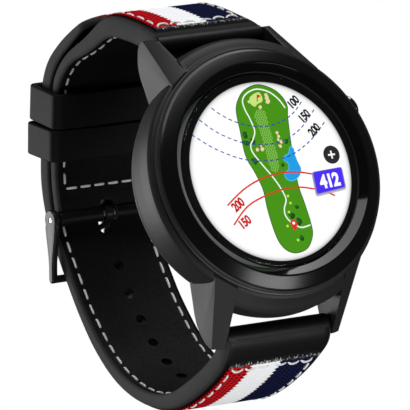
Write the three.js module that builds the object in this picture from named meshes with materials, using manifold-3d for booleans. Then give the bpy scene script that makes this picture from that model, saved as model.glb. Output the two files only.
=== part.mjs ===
// Golf GPS watch on a closed two-piece strap.
// Millimetres. +X = 3 o'clock, +Z = 12 o'clock, +Y = away from the face, towards the wrist.
// The origin is the centre of the flat outer face of the back cover, so the display looks along -Y.
// Depths called "d" are measured behind the display plane: y = d - BACK.
import * as THREE from "three";
import { mergeVertices } from "three/addons/utils/BufferGeometryUtils.js";
import Module from "manifold-3d";

const wasm = await Module();
wasm.setup();

// ---------------------------------------------------------------- driving dimensions
const BACK = 13.0; // display plane to outer face of the back cover
const GLASS_R = 17.45; // cover glass radius
const BEZEL_IN = 17.75; // bezel bore
const BEZEL_TOP_R = 19.15; // inner top edge of the bezel chamfer
const BEZEL_OUT = 22.5; // bezel foot ring
const CASE_R = 23.25; // widest radius of the case
const WEB_R = 25.0; // radius of the case between the lugs
const CASE_BACK_R = 22.3; // case radius at its back edge
const CAVITY_R = 20.0; // inside of the case
const CASE_TOP = 1.25; // d of the case's front face
const CASE_END = 9.8; // d of the case's back edge
const LUG_IN = 11.1; // inner lug faces, each side of the strap
const BAR_D = 10.9; // lug spring bars: depth
const BAR_Z = 26.6; // lug spring bars: distance from the centre
const BAR_R = 0.75; // spring bar tube radius
const TIP_R = 0.42; // spring bar tip radius
const TIP_OUT = 1.1; // how far a tip reaches into its hole
const ROLL_R = 1.8; // leather roll round a lug spring bar
const END_R = 23.2; // concave end of the buckle half, facing the case
const STRAP_HW = 11.0; // strap half width at the lugs
const T_THICK = 3.4; // padded strap thickness near the lugs
const T_THIN = 2.2; // strap thickness at the back
const LINING = 0.5; // lining thickness
const RIBBON = 0.45; // ribbon thickness
const RIBBON_MARGIN = 1.45; // leather left bare on each side of the ribbon
const LAYER_GAP = 0.5; // between the two strap layers
const PIVOT = [58.85, 6.8]; // buckle bar (d, z)
const PIVOT_ROLL = 1.4; // leather roll round the buckle bar
const FAR_BAR = [63.35, -3.3]; // far bar of the buckle frame (d, z)
const ARM_IN = 11.05; // inside of the buckle arms
const ARM_OUT = 12.2; // outside of the buckle arms
const BUTTON_ANG = 64.5; // clockwise from 12 o'clock, degrees
const BUTTON_D = 4.6; // depth of the button axis
const HOLE_PITCH = 6.0; // strap hole pitch
const HOLE_R = 1.0; // strap hole radius
const SCREWS = [
  [10.3, 14.6],
  [-10.3, 14.6],
  [-10.3, -14.6],
  [10.3, -14.6],
];

// ---------------------------------------------------------------- helpers
const Y = (d) => d - BACK;

// A closed geometry as a solid, turned the right way out.
function solid(geometry) {
  const g = geometry.clone();
  for (const k of Object.keys(g.attributes))
    if (k !== "position") g.deleteAttribute(k);
  const m = mergeVertices(g, 1e-4);
  const tri = new Uint32Array(m.index.array);
  const make = () =>
    new wasm.Manifold(
      new wasm.Mesh({
        numProp: 3,
        vertProperties: new Float32Array(m.attributes.position.array),
        triVerts: tri,
      }),
    );
  let s = make();
  if (s.volume() < 0) {
    for (let i = 0; i < tri.length; i += 3)
      [tri[i + 1], tri[i + 2]] = [tri[i + 2], tri[i + 1]];
    s = make();
  }
  return s;
}

function toGeometry(s) {
  const m = s.getMesh();
  const v = new Float32Array(m.numVert * 3);
  for (let i = 0; i < m.numVert; i++)
    v.set(m.vertProperties.subarray(i * m.numProp, i * m.numProp + 3), i * 3);
  const g = new THREE.BufferGeometry();
  g.setAttribute("position", new THREE.BufferAttribute(v, 3));
  g.setIndex(new THREE.BufferAttribute(new Uint32Array(m.triVerts), 1));
  const flat = g.toNonIndexed();
  flat.computeVertexNormals();
  return flat;
}

// Solid of revolution about the case axis. profile: [radius, d] pairs.
function turned(profile, seg = 48) {
  const pts = profile.map(([r, d]) => new THREE.Vector2(r, Y(d)));
  if (pts[0].x !== 0 || pts[pts.length - 1].x !== 0) pts.push(pts[0].clone());
  return solid(new THREE.LatheGeometry(pts, seg));
}

const disc = (r, d0, d1, seg = 48) =>
  turned([[0, d0], [r, d0], [r, d1], [0, d1]], seg);

function box(x0, x1, d0, d1, z0, z1) {
  const g = new THREE.BoxGeometry(x1 - x0, d1 - d0, z1 - z0);
  g.translate((x0 + x1) / 2, Y((d0 + d1) / 2), (z0 + z1) / 2);
  return solid(g);
}

// Cylinder along X between x0 and x1, centred on (d, z).
function rodX(r, x0, x1, d, z, seg = 16) {
  const g = new THREE.CylinderGeometry(r, r, x1 - x0, seg);
  g.rotateZ(-Math.PI / 2);
  g.translate((x0 + x1) / 2, Y(d), z);
  return solid(g);
}

// Cylinder along Y between d0 and d1, centred on (x, z).
function rodY(r, d0, d1, x, z, seg = 16) {
  const g = new THREE.CylinderGeometry(r, r, d1 - d0, seg);
  g.translate(x, Y((d0 + d1) / 2), z);
  return solid(g);
}

// Outline of [d, z] points extruded along X.
function plateX(points, x0, x1) {
  const shape = new THREE.Shape(
    points.map(([d, z]) => new THREE.Vector2(Y(d), z)),
  );
  const g = new THREE.ExtrudeGeometry(shape, {
    depth: x1 - x0,
    bevelEnabled: false,
    curveSegments: 8,
  });
  g.applyMatrix4(
    new THREE.Matrix4().makeBasis(
      new THREE.Vector3(0, 1, 0),
      new THREE.Vector3(0, 0, 1),
      new THREE.Vector3(1, 0, 0),
    ),
  );
  g.translate(x0, 0, 0);
  return solid(g);
}

// Outline of [x, z] points extruded in depth from d0 to d1.
function plateY(points, d0, d1) {
  const shape = new THREE.Shape(
    points.map(([x, z]) => new THREE.Vector2(x, z)),
  );
  const g = new THREE.ExtrudeGeometry(shape, {
    depth: d1 - d0,
    bevelEnabled: false,
  });
  g.applyMatrix4(
    new THREE.Matrix4().makeBasis(
      new THREE.Vector3(1, 0, 0),
      new THREE.Vector3(0, 0, 1),
      new THREE.Vector3(0, -1, 0),
    ),
  );
  g.translate(0, Y(d1), 0);
  return solid(g);
}

// Half space on the far side of a plane, as a large block to subtract.
function beyond(point, normal) {
  const n = new THREE.Vector3(...normal).normalize();
  const g = new THREE.BoxGeometry(120, 120, 60);
  g.translate(0, 0, 30);
  g.applyQuaternion(
    new THREE.Quaternion().setFromUnitVectors(new THREE.Vector3(0, 0, 1), n),
  );
  g.translate(point[0], Y(point[1]), point[2]);
  return solid(g);
}

const roundedRect = (x0, x1, z0, z1, r, k = 3) => {
  const out = [];
  for (const [cx, cz, a0] of [
    [x1 - r, z1 - r, 0],
    [x0 + r, z1 - r, 90],
    [x0 + r, z0 + r, 180],
    [x1 - r, z0 + r, 270],
  ])
    for (let i = 0; i <= k; i++) {
      const a = ((a0 + (90 * i) / k) * Math.PI) / 180;
      out.push([cx + r * Math.cos(a), cz + r * Math.sin(a)]);
    }
  return out;
};

// ---------------------------------------------------------------- strap paths, as [d, z]
const curve = (pts) => {
  const c = new THREE.CatmullRomCurve3(
    pts.map(([d, z]) => new THREE.Vector3(0, Y(d), z)),
    false,
    "centripetal",
  );
  c.arcLengthDivisions = 600;
  return c;
};

// Outer face of the tail half, from the 6 o'clock lugs round to the tip.
const TAIL = curve([
  [9.15, -26.9],
  [9.7, -28.7],
  [11.5, -30.4],
  [13.6, -31.4],
  [17.5, -32.7],
  [22.5, -33.8],
  [28.0, -34.5],
  [33.31, -34.54],
  [39.42, -33.2],
  [46.05, -30.13],
  [51.88, -25.34],
  [56.57, -18.62],
  [59.62, -11.15],
  [61.29, -5.1],
  [62.59, 0.43],
  [63.45, 5.48],
  [63.54, 10.14],
  [62.64, 14.99],
  [60.49, 19.81],
  [57.97, 24.95],
  [55.33, 29.92],
  [53.9, 31.99],
  [50.53, 34.71],
  [45.15, 36.64],
  [39.54, 37.7],
  [34.5, 38.1],
  [31.48, 37.9],
]);
const TAIL_LEN = TAIL.getLength();
const smooth = (a, b, x) => {
  const t = Math.min(1, Math.max(0, (x - a) / (b - a)));
  return t * t * (3 - 2 * t);
};
// The tail half is padded further outwards along the back and again at the keepers.
const padding = (s) =>
  0.65 * smooth(24, 42, s) -
  0.25 * smooth(58, 66, s) +
  0.8 * smooth(77, 90, s) -
  0.9 * smooth(108, 122, s);
const tailThick = (s) =>
  T_THICK +
  padding(s) +
  (T_THIN - T_THICK) * smooth(18, 40, s) -
  (T_THIN - 1.2) * smooth(TAIL_LEN - 12, TAIL_LEN - 1, s);
const tailHW = (s) => {
  const w = STRAP_HW - 0.35 * smooth(3, 9, s) - 0.35 * smooth(10, TAIL_LEN - 20, s);
  const e = TAIL_LEN - s; // rounded tip
  return e < 6 ? w * Math.sqrt(1 - Math.pow(1 - (e + 0.25) / 6.25, 2.4)) : w;
};
// Point and outward normal of a path at arc length s.
function at(c, s, out) {
  const u = Math.min(1, Math.max(0, s / c.getLength()));
  const p = c.getPointAt(u),
    t = c.getTangentAt(u);
  const n = new THREE.Vector3(0, -t.z, t.y).multiplyScalar(out);
  return { p, n, t };
}
const TAIL_OUT = -1; // normal (0, t.z, -t.y) points away from the wrist
const tailAt = (s) => at(TAIL, s, TAIL_OUT);
const TAIL_GRID = Array.from({ length: 47 }, (_, i) => (i * TAIL_LEN) / 46);
function sOf(c, d, z) {
  let best = 0,
    bd = 1e9;
  const L = c.getLength();
  for (let i = 0; i <= 800; i++) {
    const p = c.getPointAt(i / 800);
    const e = Math.hypot(p.y - Y(d), p.z - z);
    if (e < bd) {
      bd = e;
      best = (i / 800) * L;
    }
  }
  return best;
}

// Outer face of the buckle half: from the 12 o'clock lugs over the top, then inside the tail half.
const under = (s) => {
  const { p, n } = tailAt(s);
  const q = p.clone().addScaledVector(n, -(tailThick(s) + LAYER_GAP));
  return [q.y + BACK, q.z];
};
const S_JOIN = sOf(TAIL, 42.5, 36.9);
const S_END = sOf(TAIL, 62.8, 8.4);
const underPts = [];
for (let i = 0; i <= 9; i++)
  underPts.push(under(S_JOIN + ((S_END - S_JOIN) * i) / 9));
const HALF = curve([
  [9.15, 26.9],
  [10.0, 28.3],
  [12.2, 29.8],
  [16.0, 32.1],
  [20.5, 34.4],
  [24.8, 36.05],
  [28.4, 36.35],
  [32.3, 35.6],
  [36.5, 34.9],
  ...underPts,
]);
const HALF_LEN = HALF.getLength();
const HALF_OUT = 1;
const halfAt = (s) => at(HALF, s, HALF_OUT);
const HALF_GRID = Array.from({ length: 35 }, (_, i) => (i * HALF_LEN) / 34);
const halfThick = (s) => T_THICK + 0.4 - 1.4 * smooth(20, 38, s);
const halfHW = (s) => STRAP_HW - 0.35 * smooth(3, 9, s) - 0.25 * smooth(10, HALF_LEN - 8, s);

// Sheet swept along a path: between offsets lo(s) and hi(s) from the outer face, half width hw(s).
// Every sheet on a path takes its stations from one grid, so neighbouring sheets stay parallel.
function swept(where, s0, s1, grid, lo, hi, hw, cham = 0.35, tipAt = 0) {
  const stations = [s0];
  for (const g of grid) if (g > s0 + 0.25 && g < s1 - 0.25) stations.push(g);
  stations.push(s1);
  if (tipAt)
    for (const e of [0.25, 0.8, 1.7, 3.0, 4.6])
      if (s1 - e > s0) stations.push(s1 - e);
  stations.sort((p, q) => p - q);
  const n = stations.length - 1;
  const rows = [];
  for (let i = 0; i <= n; i++) {
    const s = stations[i];
    const { p, n: nn } = where(s);
    const a = lo(s),
      b = hi(s),
      w = hw(s),
      c = Math.min(cham, (b - a) * 0.42);
    const row = [
      [-w, a + c],
      [-w + c, a],
      [w - c, a],
      [w, a + c],
      [w, b - c],
      [w - c, b],
      [-w + c, b],
      [-w, b - c],
    ].map(([x, h]) => [x, p.y + nn.y * h, p.z + nn.z * h]);
    rows.push(row);
  }
  const pos = [];
  const tri = (a, b, c) => pos.push(...a, ...b, ...c);
  for (let i = 0; i < n; i++)
    for (let k = 0; k < 8; k++) {
      const a = rows[i][k],
        b = rows[i][(k + 1) % 8],
        c = rows[i + 1][(k + 1) % 8],
        d = rows[i + 1][k];
      tri(a, b, c);
      tri(a, c, d);
    }
  for (let k = 1; k < 7; k++) {
    tri(rows[0][0], rows[0][k + 1], rows[0][k]);
    tri(rows[n][0], rows[n][k], rows[n][k + 1]);
  }
  const g = new THREE.BufferGeometry();
  g.setAttribute("position", new THREE.BufferAttribute(new Float32Array(pos), 3));
  return solid(g);
}

// Round hole square to the strap at arc length s of a path.
function punch(where, s, r, lo, hi, seg = 12) {
  const { p, n } = where(s);
  const g = new THREE.CylinderGeometry(r, r, hi - lo, seg);
  g.applyQuaternion(
    new THREE.Quaternion().setFromUnitVectors(new THREE.Vector3(0, 1, 0), n),
  );
  g.translate(
    0,
    p.y + (n.y * (lo + hi)) / 2,
    p.z + (n.z * (lo + hi)) / 2,
  );
  return solid(g);
}

// ---------------------------------------------------------------- watch head
// Case: tapering barrel, open at both ends, with four lugs.
let caseBody = turned(
  [
    [17.1, CASE_TOP],
    [22.35, CASE_TOP],
    [22.95, 1.5],
    [CASE_R, 2.3],
    [CASE_R, 3.1],
    [23.05, 5.4],
    [CASE_BACK_R + 0.2, 9.1],
    [CASE_BACK_R - 0.2, CASE_END],
    [17.1, CASE_END],
  ],
  56,
);
const lugOutline = [
  [1.2, 13.0],
  [1.2, 20.6],
  [8.9, 28.7],
  [10.4, 28.75],
  [11.7, 28.1],
  [12.6, 26.8],
  [13.0, 25.1],
  [12.95, 23.3],
  [12.4, 21.4],
  [11.4, 19.3],
  [9.75, 15.6],
  [9.75, 12.0],
];
// the upper lugs sit a little lower against the case
const upperLugOutline = lugOutline.map(([d, z], i) =>
  i === 1 ? [d, z - 1.1] : i === 2 ? [d, z - 1.5] : i === 3 ? [d, z - 0.9] : i === 4 ? [d, z - 0.3] : [d, z],
);
// web between the lugs of each pair, wider than the round barrel
caseBody = caseBody.add(
  turned(
    [
      [20.5, 1.6],
      [22.9, 1.6],
      [WEB_R - 0.5, 2.9],
      [WEB_R, 3.9],
      [WEB_R, 7.4],
      [WEB_R - 0.9, 9.2],
      [WEB_R - 1.2, CASE_END],
      [20.5, CASE_END],
    ],
    72,
  ).intersect(box(-LUG_IN - 0.3, LUG_IN + 0.3, 0, 12, -30, 30)),
);
for (const sx of [1, -1])
  for (const sz of [1, -1]) {
    let lug = plateX(
      (sz > 0 ? upperLugOutline : lugOutline).map(([d, z]) => [d, z * sz]),
      sx > 0 ? LUG_IN : -15.6,
      sx > 0 ? 15.6 : -LUG_IN,
    );
    // front face slopes back and outwards; outer face converges towards the tip
    lug = lug.subtract(
      beyond([sx * 11.1, 1.15, sz * 20.0], [sx * 0.444, -0.625, sz * 0.641]),
    );
    lug = lug.subtract(beyond([sx * 15.0, 5, sz * 17.5], [sx, 0, sz * 0.171]));
    caseBody = caseBody.add(lug);
  }
caseBody = caseBody.subtract(disc(CAVITY_R, 3.1, 14, 44));
caseBody = caseBody.subtract(disc(22.25, CASE_END, 14, 56));
caseBody = caseBody.subtract(disc(17.1, 0, 4, 44));
for (const [x, z] of SCREWS) {
  const boss = rodY(2.3, 3.0, CASE_END - 0.01, x, z, 16).add(
    rodY(1.4, 3.0, CASE_END - 0.01, x * 1.11, z * 1.11, 12),
  );
  caseBody = caseBody.add(boss.subtract(disc(17.1 - 3, 0, 14, 24)));
}
for (const [x, z] of SCREWS)
  caseBody = caseBody.subtract(rodY(0.8, 6.4, 12, x, z, 12));
for (const sz of [1, -1])
  for (const sx of [1, -1])
    caseBody = caseBody.subtract(
      rodX(
        0.5,
        sx > 0 ? 10 : -LUG_IN - 1.3,
        sx > 0 ? LUG_IN + 1.3 : -10,
        BAR_D,
        sz * BAR_Z,
        12,
      ),
    );

// The button's own axis: u points outwards through the case wall.
const BA = (BUTTON_ANG * Math.PI) / 180;
const U = new THREE.Vector3(Math.sin(BA), 0, Math.cos(BA));
const SIDE = new THREE.Vector3(Math.cos(BA), 0, -Math.sin(BA));
function alongU(geometry) {
  // geometry built along +Y, with its base distance as y
  const m = new THREE.Matrix4().makeBasis(
    SIDE,
    U,
    new THREE.Vector3().crossVectors(SIDE, U),
  );
  geometry.applyMatrix4(m);
  geometry.translate(0, Y(BUTTON_D), 0);
  return solid(geometry);
}
const lathU = (pts, seg = 20) => {
  const v = pts.map(([r, y]) => new THREE.Vector2(r, y));
  if (v[0].x !== 0 || v[v.length - 1].x !== 0) v.push(v[0].clone());
  return alongU(new THREE.LatheGeometry(v, seg));
};
caseBody = caseBody.subtract(lathU([[0, 21.9], [2.6, 21.9], [2.6, 26], [0, 26]], 24));
caseBody = caseBody.subtract(lathU([[0, 17], [1.5, 17], [1.5, 23], [0, 23]], 16));

const bezelRing = turned(
  [
    [BEZEL_IN, -0.15],
    [BEZEL_TOP_R, -1.22],
    [19.42, -1.3],
    [21.6, -0.15],
    [21.98, 0.12],
    [22.05, 0.42],
    [BEZEL_OUT - 0.05, 0.5],
    [BEZEL_OUT, 0.75],
    [22.2, 0.95],
    [BEZEL_IN, 0.95],
  ],
  64,
);
const coverGlass = turned(
  [[0, -0.15], [GLASS_R - 0.15, -0.15], [GLASS_R, 0.0], [GLASS_R, 0.65], [0, 0.65]],
  56,
);
const lensGasket = turned(
  [[17.1, 0.75], [17.45, 0.75], [17.45, 1.15], [17.1, 1.15]],
  40,
);
const displayPanel = disc(16.8, 0.75, 2.1, 56);

// Bridge that carries the display in front and the board and battery behind.
let innerFrame = disc(16.7, 2.5, 3.9, 40)
  .add(disc(19.7, 3.4, 3.9, 40))
  .add(
    turned([[18.8, 3.6], [19.7, 3.6], [19.7, 9.2], [18.8, 9.2]], 40),
  );
for (const [x, z] of SCREWS)
  innerFrame = innerFrame.subtract(rodY(2.7, 2, 12, x * 1.02, z * 1.02, 16));
innerFrame = innerFrame.subtract(rodY(1.2, 2, 6, 0, -14.2, 10));
{
  const g = new THREE.BoxGeometry(7.0, 8, 8);
  g.translate(0, 20.7, 0);
  innerFrame = innerFrame.subtract(alongU(g));
}
innerFrame = innerFrame
  .decompose()
  .sort((a, b) => b.volume() - a.volume())[0];

let mainBoard = disc(18.3, 5.0, 5.8, 40);
for (const [x, z] of SCREWS)
  mainBoard = mainBoard.subtract(rodY(2.7, 4, 7, x, z, 14));
{
  const g = new THREE.BoxGeometry(4.6, 6, 6);
  g.translate(0, 19.4, 0);
  mainBoard = mainBoard.subtract(alongU(g));
}
mainBoard = mainBoard.add(box(-7, 7, 4.3, 5.1, -6, 5)); // shield can on the front of the board
mainBoard = mainBoard.add(box(8.5, 13.5, 4.4, 5.1, -7, -2)); // receiver chip
mainBoard = mainBoard.add(box(-13.5, -9, 4.4, 5.1, -4, 3)); // memory and power chips

const battery = plateY(roundedRect(-12, 12, -9.5, 5.2, 1.6), 6.1, 9.4);
const gpsAntenna = plateY(roundedRect(-5.5, 5.5, 6.6, 15.6, 0.5, 1), 6.1, 9.2);
const vibrationMotor = rodY(3.6, 6.1, 8.8, 0, -14.0, 24);
let tactSwitch;
{
  const g = new THREE.BoxGeometry(3.6, 1.6, 2.6);
  g.translate(0, 17.6, 0);
  tactSwitch = alongU(g).add(
    lathU([[0, 18.2], [0.8, 18.2], [0.8, 18.62], [0, 18.62]], 12),
  );
}
// Flex tail from the display, through the bridge, to the board.
const displayFlex = plateX(
  [
    [2.16, -15.0],
    [2.16, -13.9],
    [4.65, -13.9],
    [4.65, -11.5],
    [4.85, -11.5],
    [4.85, -14.1],
    [2.36, -14.1],
    [2.36, -15.0],
  ],
  -0.7,
  0.7,
);

let backCover = turned(
  [
    [0, 11.6],
    [16.6, 11.6],
    [16.9, 10.1],
    [21.7, 10.1],
    [21.9, 10.4],
    [21.6, 11.2],
    [20.6, 12.5],
    [19.9, BACK],
    [0, BACK],
  ],
  48,
);
for (const [x, z] of SCREWS) {
  backCover = backCover.subtract(rodY(1.3, 11.8, 14, x, z, 16));
  backCover = backCover.subtract(rodY(0.85, 9, 12, x, z, 12));
}
const CONTACT_X = [-3.9, -1.3, 1.3, 3.9];
const CONTACT_Z = 10.5;
for (const x of CONTACT_X)
  backCover = backCover.subtract(rodY(0.95, 10, 14, x, CONTACT_Z, 14));
const backGasket = turned(
  [[20.4, CASE_END + 0.05], [21.0, CASE_END + 0.05], [21.0, 10.05], [20.4, 10.05]],
  40,
);
const screw = (x, z) =>
  rodY(1.12, 11.95, 12.75, x, z, 14)
    .add(rodY(0.65, 7.0, 12.2, x, z, 10))
    .subtract(box(x - 0.85, x + 0.85, 12.45, 13, z - 0.16, z + 0.16));
const contact = (x) =>
  rodY(0.8, 11.2, 12.85, x, CONTACT_Z, 12).add(rodY(1.1, 11.0, 11.4, x, CONTACT_Z, 12));

// Button: domed cap, stem, retaining clip and seal.
const sideButton = lathU(
  [
    [0, 19.3],
    [0.9, 19.3],
    [0.9, 22.75],
    [2.2, 22.75],
    [2.3, 22.9],
    [2.3, 24.0],
    [2.05, 24.45],
    [1.5, 24.72],
    [0.8, 24.85],
    [0, 24.88],
  ],
  28,
);
let buttonClip = lathU([[0.97, 19.42], [1.36, 19.42], [1.36, 19.75], [0.97, 19.75]], 20);
{
  const g = new THREE.BoxGeometry(0.9, 2, 2);
  g.translate(0, 19.6, 1.3);
  buttonClip = buttonClip.subtract(alongU(g));
}
const buttonSeal = lathU([[0.95, 21.3], [1.4, 21.3], [1.4, 21.7], [0.95, 21.7]], 16);

// ---------------------------------------------------------------- spring bars
// Tube with a bore; a tip at each end; a compression spring between the tips.
const barTube = (half, d, z, r) =>
  rodX(r, -half, half, d, z, 16).subtract(rodX(0.5, -half - 1, half + 1, d, z, 12));
const tip = (sx, half, out, d, z) =>
  sx > 0
    ? rodX(TIP_R, half - 2.2, half + out, d, z, 12)
    : rodX(TIP_R, -half - out, -half + 2.2, d, z, 12);
function barSpring(half, d, z) {
  const L = half - 2.2 - 1.6;
  class Helix extends THREE.Curve {
    getPoint(t, target = new THREE.Vector3()) {
      const a = t * 5 * 2 * Math.PI;
      return target.set(
        -L + 2 * L * t,
        Y(d) + 0.3 * Math.cos(a),
        z + 0.3 * Math.sin(a),
      );
    }
  }
  const wire = new THREE.Shape();
  for (let i = 0; i < 4; i++) {
    const a = (i * Math.PI) / 2;
    wire[i ? "lineTo" : "moveTo"](0.11 * Math.cos(a), 0.11 * Math.sin(a));
  }
  return solid(
    new THREE.ExtrudeGeometry(wire, {
      steps: 30,
      extrudePath: new Helix(),
      curveSegments: 1,
    }),
  );
}
const LUG_HALF = 10.85;
const BUCKLE_HALF = 10.8;

// ---------------------------------------------------------------- strap, tail half
const S_TONGUE = sOf(TAIL, 62.85, 5.0);
const HOLES = [-1, 0, 1, 2, 3, 4, 5, 6]
  .map((k) => (k > 0 ? S_TONGUE - 2.8 - k * HOLE_PITCH : S_TONGUE - k * 5.0))
  .filter((s) => s > 0);
let tailCore = swept(
  tailAt,
  0,
  TAIL_LEN,
  TAIL_GRID,
  (s) => -(tailThick(s) - LINING - 0.08),
  () => 0,
  tailHW,
  0.4,
  1,
);
tailCore = tailCore.add(rodX(ROLL_R, -STRAP_HW + 0.2, STRAP_HW - 0.2, BAR_D, -BAR_Z, 20));
tailCore = tailCore.subtract(rodX(0.95, -12, 12, BAR_D, -BAR_Z, 16));
const tailLining0 = swept(
  tailAt,
  3.4,
  TAIL_LEN - 1.2,
  TAIL_GRID,
  (s) => -tailThick(s),
  (s) => -(tailThick(s) - LINING),
  (s) => tailHW(Math.min(s, TAIL_LEN - 1.2)) - 0.4,
  0.12,
  1,
);
const S_RIB0 = sOf(TAIL, 13.4, -31.3);
const tailRibbon0 = swept(
  tailAt,
  S_RIB0,
  TAIL_LEN - 3.2,
  TAIL_GRID,
  () => 0.05,
  () => 0.05 + RIBBON,
  (s) => tailHW(Math.min(s + 2, TAIL_LEN - 0.4)) - RIBBON_MARGIN,
  0.12,
);
let tailLining = tailLining0,
  tailRibbon = tailRibbon0;
for (const s of HOLES) {
  const tongueHole = Math.abs(s - S_TONGUE) < 0.01;
  let cut;
  if (tongueHole) {
    cut = box(-1.25, 1.25, 59, 66, 3.55, 6.8);
  } else cut = punch(tailAt, s, HOLE_R, -4, 2);
  tailCore = tailCore.subtract(cut);
  tailLining = tailLining.subtract(
    tongueHole ? box(-1.25, 1.25, 58.5, 66, 3.4, 7.4) : cut,
  );
  tailRibbon = tailRibbon.subtract(cut);
}

// ---------------------------------------------------------------- strap, buckle half
let halfCore = swept(
  halfAt,
  0,
  HALF_LEN,
  HALF_GRID,
  (s) => -(halfThick(s) - LINING - 0.08),
  () => 0,
  halfHW,
  0.4,
);
halfCore = halfCore.add(rodX(ROLL_R, -STRAP_HW + 0.2, STRAP_HW - 0.2, BAR_D, BAR_Z, 20));
// curved end that fills the space between the roll and the case
halfCore = halfCore.add(
  box(-STRAP_HW + 0.2, STRAP_HW - 0.2, 10.25, 12.3, 17, BAR_Z).subtract(disc(END_R, 8, 14, 72)),
);
halfCore = halfCore.add(rodX(PIVOT_ROLL, -10.5, 10.5, PIVOT[0], PIVOT[1], 20));
halfCore = halfCore.subtract(rodX(0.95, -12, 12, BAR_D, BAR_Z, 16));
halfCore = halfCore.subtract(rodX(0.85, -12, 12, PIVOT[0], PIVOT[1], 16));
halfCore = halfCore.subtract(box(-1.5, 1.5, 55, 62, 3, 9.6)); // slot for the tongue
const halfLining = swept(
  halfAt,
  3.4,
  HALF_LEN - 2.2,
  HALF_GRID,
  (s) => -halfThick(s),
  (s) => -(halfThick(s) - LINING),
  (s) => halfHW(s) - 0.4,
  0.12,
);
const halfRibbon = swept(
  halfAt,
  sOf(HALF, 12.2, 29.8),
  sOf(HALF, 30.4, 36.0),
  HALF_GRID,
  () => 0.05,
  () => 0.05 + RIBBON,
  () => STRAP_HW - 0.35 - RIBBON_MARGIN,
  0.12,
);

// ---------------------------------------------------------------- keepers
function keeper(s, len, wall, ease) {
  const { p, n, t } = tailAt(s);
  const outer = RIBBON + 0.05 + 0.5;
  const inner = -(tailThick(s) + T_THIN + 0.2 + LAYER_GAP + 0.75);
  const hw = tailHW(s) + ease;
  const ring = (w, lo, hi, L, r) => {
    const pts = roundedRect(-w, w, lo, hi, r, 3).map(
      ([x, h]) => new THREE.Vector2(x, h),
    );
    const g = new THREE.ExtrudeGeometry(new THREE.Shape(pts), {
      depth: L,
      bevelEnabled: false,
    });
    g.translate(0, 0, -L / 2);
    // x -> X, y -> outward normal, z -> along the strap
    const zax = new THREE.Vector3().crossVectors(new THREE.Vector3(1, 0, 0), n);
    g.applyMatrix4(
      new THREE.Matrix4().makeBasis(new THREE.Vector3(1, 0, 0), n, zax),
    );
    g.translate(p.x, p.y, p.z);
    return solid(g);
  };
  return ring(hw + wall, inner - wall, outer + wall, len, 1.4).subtract(
    ring(hw, inner, outer, len + 2, 0.5),
  );
}
const S_FIXED = sOf(TAIL, 58.2, 21.8);
const S_FREE = S_FIXED + 6.8;
const fixedKeeper = keeper(S_FIXED, 5.9, 1.1, 0.7);
const freeKeeper = keeper(S_FREE, 6.4, 1.1, 0.35);

// ---------------------------------------------------------------- buckle
function capsule(c0, r0, c1, r1, k = 10) {
  // outline of two circles and their common tangents
  const dx = c1[0] - c0[0],
    dz = c1[1] - c0[1],
    L = Math.hypot(dx, dz),
    a = Math.atan2(dz, dx),
    b = Math.acos((r0 - r1) / L);
  const out = [];
  for (let i = 0; i <= k; i++) {
    const q = a + b + ((2 * Math.PI - 2 * b) * i) / k;
    out.push([c0[0] + r0 * Math.cos(q), c0[1] + r0 * Math.sin(q)]);
  }
  for (let i = 0; i <= 5; i++) {
    const q = a - b + (2 * b * i) / 5;
    out.push([c1[0] + r1 * Math.cos(q), c1[1] + r1 * Math.sin(q)]);
  }
  return out;
}
const armOutline = capsule(PIVOT, 1.95, FAR_BAR, 0.8);
let buckleFrame = plateX(armOutline, ARM_IN, ARM_OUT)
  .add(plateX(armOutline, -ARM_OUT, -ARM_IN))
  .add(rodX(0.7, -ARM_IN - 0.5, ARM_IN + 0.5, FAR_BAR[0], FAR_BAR[1], 16));
buckleFrame = buckleFrame.subtract(rodX(0.5, -13, 13, PIVOT[0], PIVOT[1], 12));
let tongue = plateX(
  [
    [59.4, 5.9],
    [60.4, 4.55],
    [64.2, 4.35],
    [64.2, -4.4],
    [64.45, -4.9],
    [64.85, -4.75],
    [65.1, 0],
    [65.15, 4.6],
    [64.7, 5.4],
    [61.0, 5.6],
    [60.3, 6.6],
  ],
  -0.8,
  0.8,
);
tongue = tongue.add(rodX(1.4, -0.8, 0.8, PIVOT[0], PIVOT[1], 16));
tongue = tongue.subtract(rodX(0.85, -2, 2, PIVOT[0], PIVOT[1], 16));

// ---------------------------------------------------------------- scene graph
const M = (color, roughness, metalness, extra = {}) =>
  new THREE.MeshStandardMaterial({ color, roughness, metalness, ...extra });
const mats = {
  case: () => M(0x2e2e30, 0.45, 0.6),
  bezel: () => M(0x141415, 0.3, 0.7),
  glass: () => M(0x101418, 0.05, 0.0, { transparent: true, opacity: 0.35 }),
  rubber: () => M(0x111111, 0.8, 0),
  display: () => M(0xf2f4f2, 0.3, 0),
  plastic: () => M(0x3a3d40, 0.7, 0),
  board: () => M(0x1d5a34, 0.6, 0.1),
  cell: () => M(0x9aa0a6, 0.4, 0.6),
  ceramic: () => M(0xc9b893, 0.6, 0),
  steel: () => M(0xb9bcc0, 0.3, 0.95),
  gold: () => M(0xd8ab4c, 0.3, 1.0),
  gloss: () => M(0x3c3c3e, 0.12, 0.9),
  leather: () => M(0x343434, 0.65, 0),
  lining: () => M(0x0e0e0e, 0.7, 0),
  ribbon: () => M(0xc8262c, 0.9, 0),
  buckle: () => M(0x3b3b3d, 0.35, 0.85),
  flex: () => M(0xb06a1e, 0.6, 0),
};
const group = new THREE.Group();
const head = new THREE.Group(),
  upper = new THREE.Group(),
  lower = new THREE.Group();
group.add(head, upper, lower);
function put(parent, name, s, material) {
  const mesh = new THREE.Mesh(toGeometry(s), mats[material]());
  mesh.name = name;
  parent.add(mesh);
}
put(head, "case_body", caseBody, "case");
put(head, "bezel_ring", bezelRing, "bezel");
put(head, "cover_glass", coverGlass, "glass");
put(head, "lens_gasket", lensGasket, "rubber");
put(head, "display_panel", displayPanel, "display");
put(head, "inner_frame", innerFrame, "plastic");
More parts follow.
